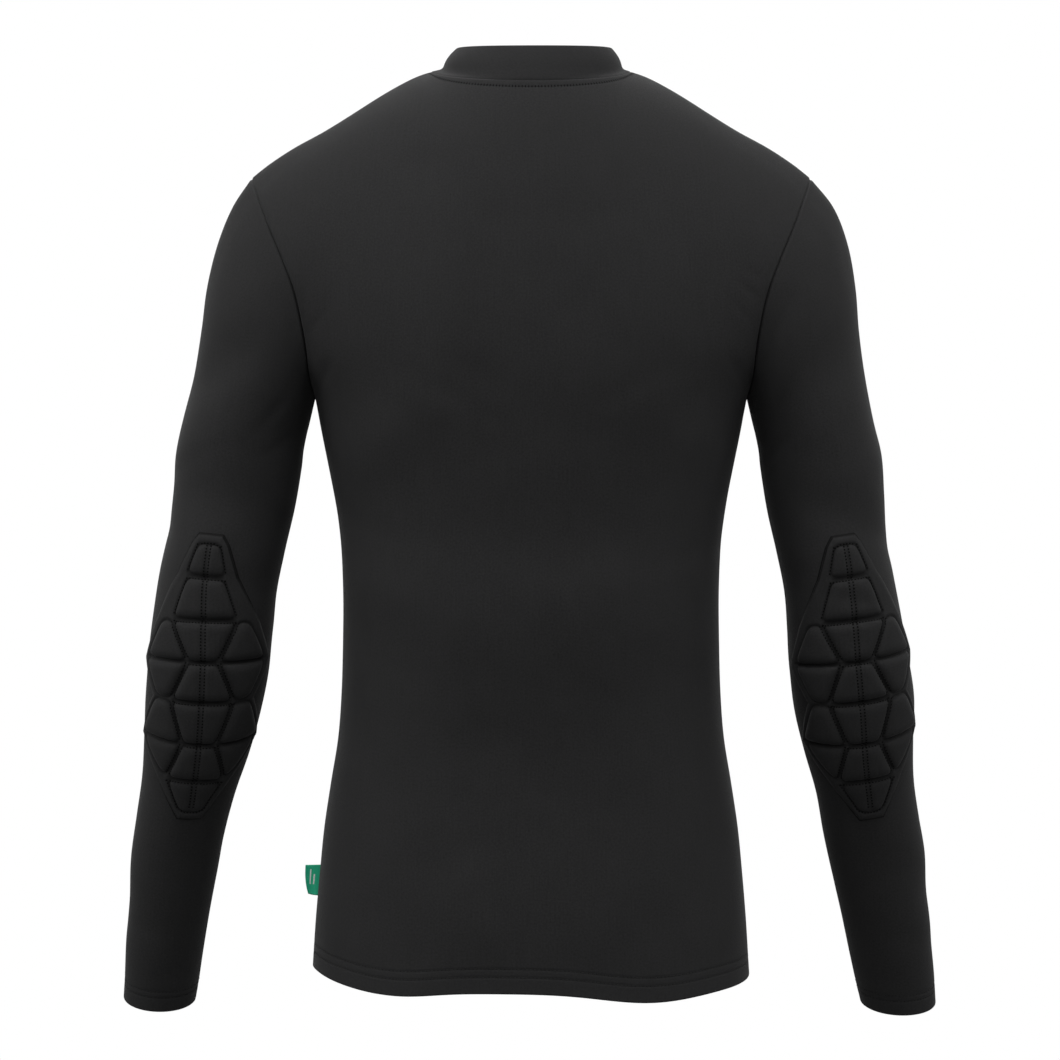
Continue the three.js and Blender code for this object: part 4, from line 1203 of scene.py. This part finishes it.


# The same knit over the foam, with painted shade darkening its grooves, the outlines of its cells and
# its edge
quilt, tree, cloth, shader = knit_finish("quilted_jersey", (0.0188, 0.0188, 0.0192), 0.55, 0.8)
# Painted shade darkens the colour along the edge, beside the cells and in the grooves
painted_shade_attribute = add_node(tree, "ShaderNodeAttribute", {}, attribute_name="painted_shade")
lit = maths(tree, "MULTIPLY_ADD", painted_shade_attribute.outputs["Fac"], -0.85, 1.0)
values = {0: cloth.outputs["Colour"], "Scale": lit}
shaded = add_node(tree, "ShaderNodeVectorMath", values, operation="SCALE")
tree.links.new(shaded.outputs[0], shader.inputs["Base Color"])
left_pad = elbow_pad("left_elbow_pad", 1)
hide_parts("elbow_pad_left")
right_pad = elbow_pad("right_elbow_pad", -1)
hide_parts("elbow_pad_right")
PAD_STITCH = HEM_STITCH | dict(pitch=2.5, long=1.1, wide=0.5, hole=(0.74, 0.74))
left_quilting = stitches("left_pad_stitches", pad_stitch_lines(1), **PAD_STITCH)
right_quilting = stitches("right_pad_stitches", pad_stitch_lines(-1), **PAD_STITCH)

# Side label
# A short loop of green woven ribbon is caught in the left side seam near the hem. It is folded
# double at its outer edge and its lower corner is bent back.
LABEL = dict(top=-615, foot=-639, out=12.5, gap=0.25, thick=0.3)
LABEL_BEND = (8, 46)


def side_label():
    fold = np.linspace(QUARTER, -QUARTER, 7)[1:-1]
    reach = LABEL["out"] - LABEL["gap"]
    path = [(s * reach, LABEL["gap"]) for s in np.linspace(0, 1, 12)]
    path += [(reach + LABEL["gap"] * math.cos(a), LABEL["gap"] * math.sin(a)) for a in fold]
    path += [(s * reach, -LABEL["gap"]) for s in np.linspace(1, 0, 12)]
    out, away = np.array(path).T
    z = np.linspace(LABEL["foot"], LABEL["top"], 22)
    out, height = np.meshgrid(out, z)
    away = np.broadcast_to(away, out.shape)
    share = (LABEL["top"] - height) / (LABEL["top"] - LABEL["foot"])
    bend = np.radians(mix(*LABEL_BEND, share**1.4)) * soft_step(out / LABEL["out"]) ** 0.6
    seam = through(BODY, "z", height, "half") - 0.6
    x = seam + out * np.cos(bend) + away * np.sin(bend)
    y = away * np.cos(bend) - out * np.sin(bend)
    lift = 0.9 * out / LABEL["out"] * (share - 0.5)
    return np.stack([x, y, height + lift], -1)


label = cloth_mesh("side_label_loop", side_label(), lambda m: m * 0 + [0, 1, 0], LABEL["thick"])
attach(label, "root")
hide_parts("side_label")

# Close green threads, crossed at right angles, with two plain white bars woven in
LABEL_BARS = ((4.6, 0.55, 8.5, 20.5), (7.9, 0.55, 8.5, 16.5))
ribbon = bpy.data.materials.new("woven_ribbon")
ribbon.use_nodes = True
tree = ribbon.node_tree
uv = add_node(tree, "ShaderNodeUVMap", {}, uv_map="cloth")
place = add_node(tree, "ShaderNodeSeparateXYZ", {0: uv.outputs[0]})
from_fold = maths(tree, "ABSOLUTE", place.outputs["X"])
white = 0.0
for out, half, low, high in LABEL_BARS:
    from_bar = maths(tree, "ABSOLUTE", maths(tree, "SUBTRACT", from_fold, out))
    beside = maths(tree, "LESS_THAN", from_bar, half)
    above = maths(tree, "GREATER_THAN", place.outputs["Y"], low)
    below = maths(tree, "LESS_THAN", place.outputs["Y"], high)
    bar = maths(tree, "MULTIPLY", beside, maths(tree, "MULTIPLY", above, below))
    white = maths(tree, "MAXIMUM", white, bar)
warp = maths(tree, "SINE", maths(tree, "MULTIPLY", place.outputs["X"], 17.0))
weft = maths(tree, "SINE", maths(tree, "MULTIPLY", place.outputs["Y"], 17.0))
crossing = maths(tree, "MULTIPLY_ADD", maths(tree, "MULTIPLY", warp, weft), 0.5, 0.5)
tones = add_node(tree, "ShaderNodeValToRGB", {"Fac": crossing})
tones.color_ramp.elements[0].color = (0.006, 0.29, 0.15, 1)
tones.color_ramp.elements[1].color = (0.018, 0.48, 0.27, 1)
values = {0: white, 6: tones.outputs[0], 7: (0.62, 0.66, 0.63, 1)}
colour = add_node(tree, "ShaderNodeMix", values, data_type="RGBA")
bump = add_node(tree, "ShaderNodeBump", {"Height": crossing, "Distance": 0.00006, "Strength": 0.8})
shader = tree.nodes["Principled BSDF"]
tree.links.new(colour.outputs[2], shader.inputs["Base Color"])
tree.links.new(bump.outputs[0], shader.inputs["Normal"])
shader.inputs["Roughness"].default_value = 0.5
shader.inputs["Specular IOR Level"].default_value = 0.25
label.data.materials.append(ribbon)

# Studio
# A plain white floor well below the shirt, soft light from above and from both sides, and the
# camera level behind the back, as in the photograph. Most of the light comes from above.
bpy.ops.mesh.primitive_plane_add(size=30, location=(0, 0, -1.3))
floor = bpy.context.object
floor.name = "floor"
floor_paint = bpy.data.materials.new("floor_paint")
floor_paint.use_nodes = True
tree = floor_paint.node_tree
seen = add_node(tree, "ShaderNodeLightPath", {})
bare = add_node(tree, "ShaderNodeEmission", {"Color": (1, 1, 1, 1), "Strength": 1.0})
shader = tree.nodes["Principled BSDF"]
shader.inputs["Base Color"].default_value = (0.15, 0.15, 0.15, 1)
shader.inputs["Roughness"].default_value = 0.9
either = add_node(tree, "ShaderNodeMixShader", {0: seen.outputs["Is Camera Ray"]})
tree.links.new(shader.outputs[0], either.inputs[1])
tree.links.new(bare.outputs[0], either.inputs[2])
tree.links.new(either.outputs[0], tree.nodes["Material Output"].inputs["Surface"])
floor.data.materials.append(floor_paint)

# Strength of the light from straight below and above on the camera's side, and of the white
# wall that stands behind the shirt
SKY = dict(low=0.41, high=0.80, wall=0.8)
world = bpy.data.worlds.new("studio")
bpy.context.scene.world = world
world.use_nodes = True
tree = world.node_tree
way = add_node(tree, "ShaderNodeTexCoord", {})
way = add_node(tree, "ShaderNodeSeparateXYZ", {0: way.outputs["Generated"]})
values = {"From Min": -1.0, "From Max": 1.0, "To Min": SKY["low"], "To Max": SKY["high"]}
near = add_node(tree, "ShaderNodeMapRange", values | {"Value": way.outputs["Z"]})
values = {"From Min": 0.1, "From Max": -0.3, "To Min": 0.0, "To Max": 1.0}
behind = add_node(tree, "ShaderNodeMapRange", values | {"Value": way.outputs["Y"]})
values = {0: behind.outputs[0], 2: near.outputs[0], 3: SKY["wall"]}
strength = add_node(tree, "ShaderNodeMix", values)
soft = tree.nodes["Background"]
soft.inputs["Color"].default_value = (1, 1, 1, 1)
tree.links.new(strength.outputs[0], soft.inputs["Strength"])
plain = add_node(tree, "ShaderNodeBackground", {"Color": (1, 1, 1, 1), "Strength": 1.0})
seen = add_node(tree, "ShaderNodeLightPath", {})
either = add_node(tree, "ShaderNodeMixShader", {0: seen.outputs["Is Camera Ray"]})
tree.links.new(soft.outputs[0], either.inputs[1])
tree.links.new(plain.outputs[0], either.inputs[2])
tree.links.new(either.outputs[0], tree.nodes["World Output"].inputs["Surface"])
bpy.context.scene.view_settings.view_transform = "Standard"


def softbox(name, place, aim, size, watts):
    light = bpy.data.lights.new(name, "AREA")
    light.shape, light.size, light.size_y, light.energy = "RECTANGLE", size[0], size[1], watts
    lamp = bpy.data.objects.new(name, light)
    bpy.context.scene.collection.objects.link(lamp)
    lamp.location = place
    toward = Vector(aim) - Vector(place)
    lamp.rotation_euler = toward.to_track_quat("-Z", "Y").to_euler()


softbox("overhead", (0.1, 1.0, 2.2), (0, 0, -0.2), (2.0, 1.4), 38)
softbox("overhead_front", (0.1, -1.2, 2.2), (0, 0, -0.2), (2.0, 1.4), 25)
softbox("left_side", (2.4, 0.6, 0.4), (0, 0, -0.4), (0.9, 1.8), 16)
softbox("right_side", (-2.4, 0.5, 0.3), (0, 0, -0.4), (0.9, 1.8), 8)

lens = bpy.data.cameras.new("photo_camera")
lens.sensor_width, lens.lens = 36, 121.9
lens.clip_end = 60
camera = bpy.data.objects.new("photo_camera", lens)
bpy.context.scene.collection.objects.link(camera)
camera.location = (0.0008, 2.8, -0.354)
camera.rotation_euler = (math.radians(90), 0, math.radians(180))
bpy.context.scene.camera = camera
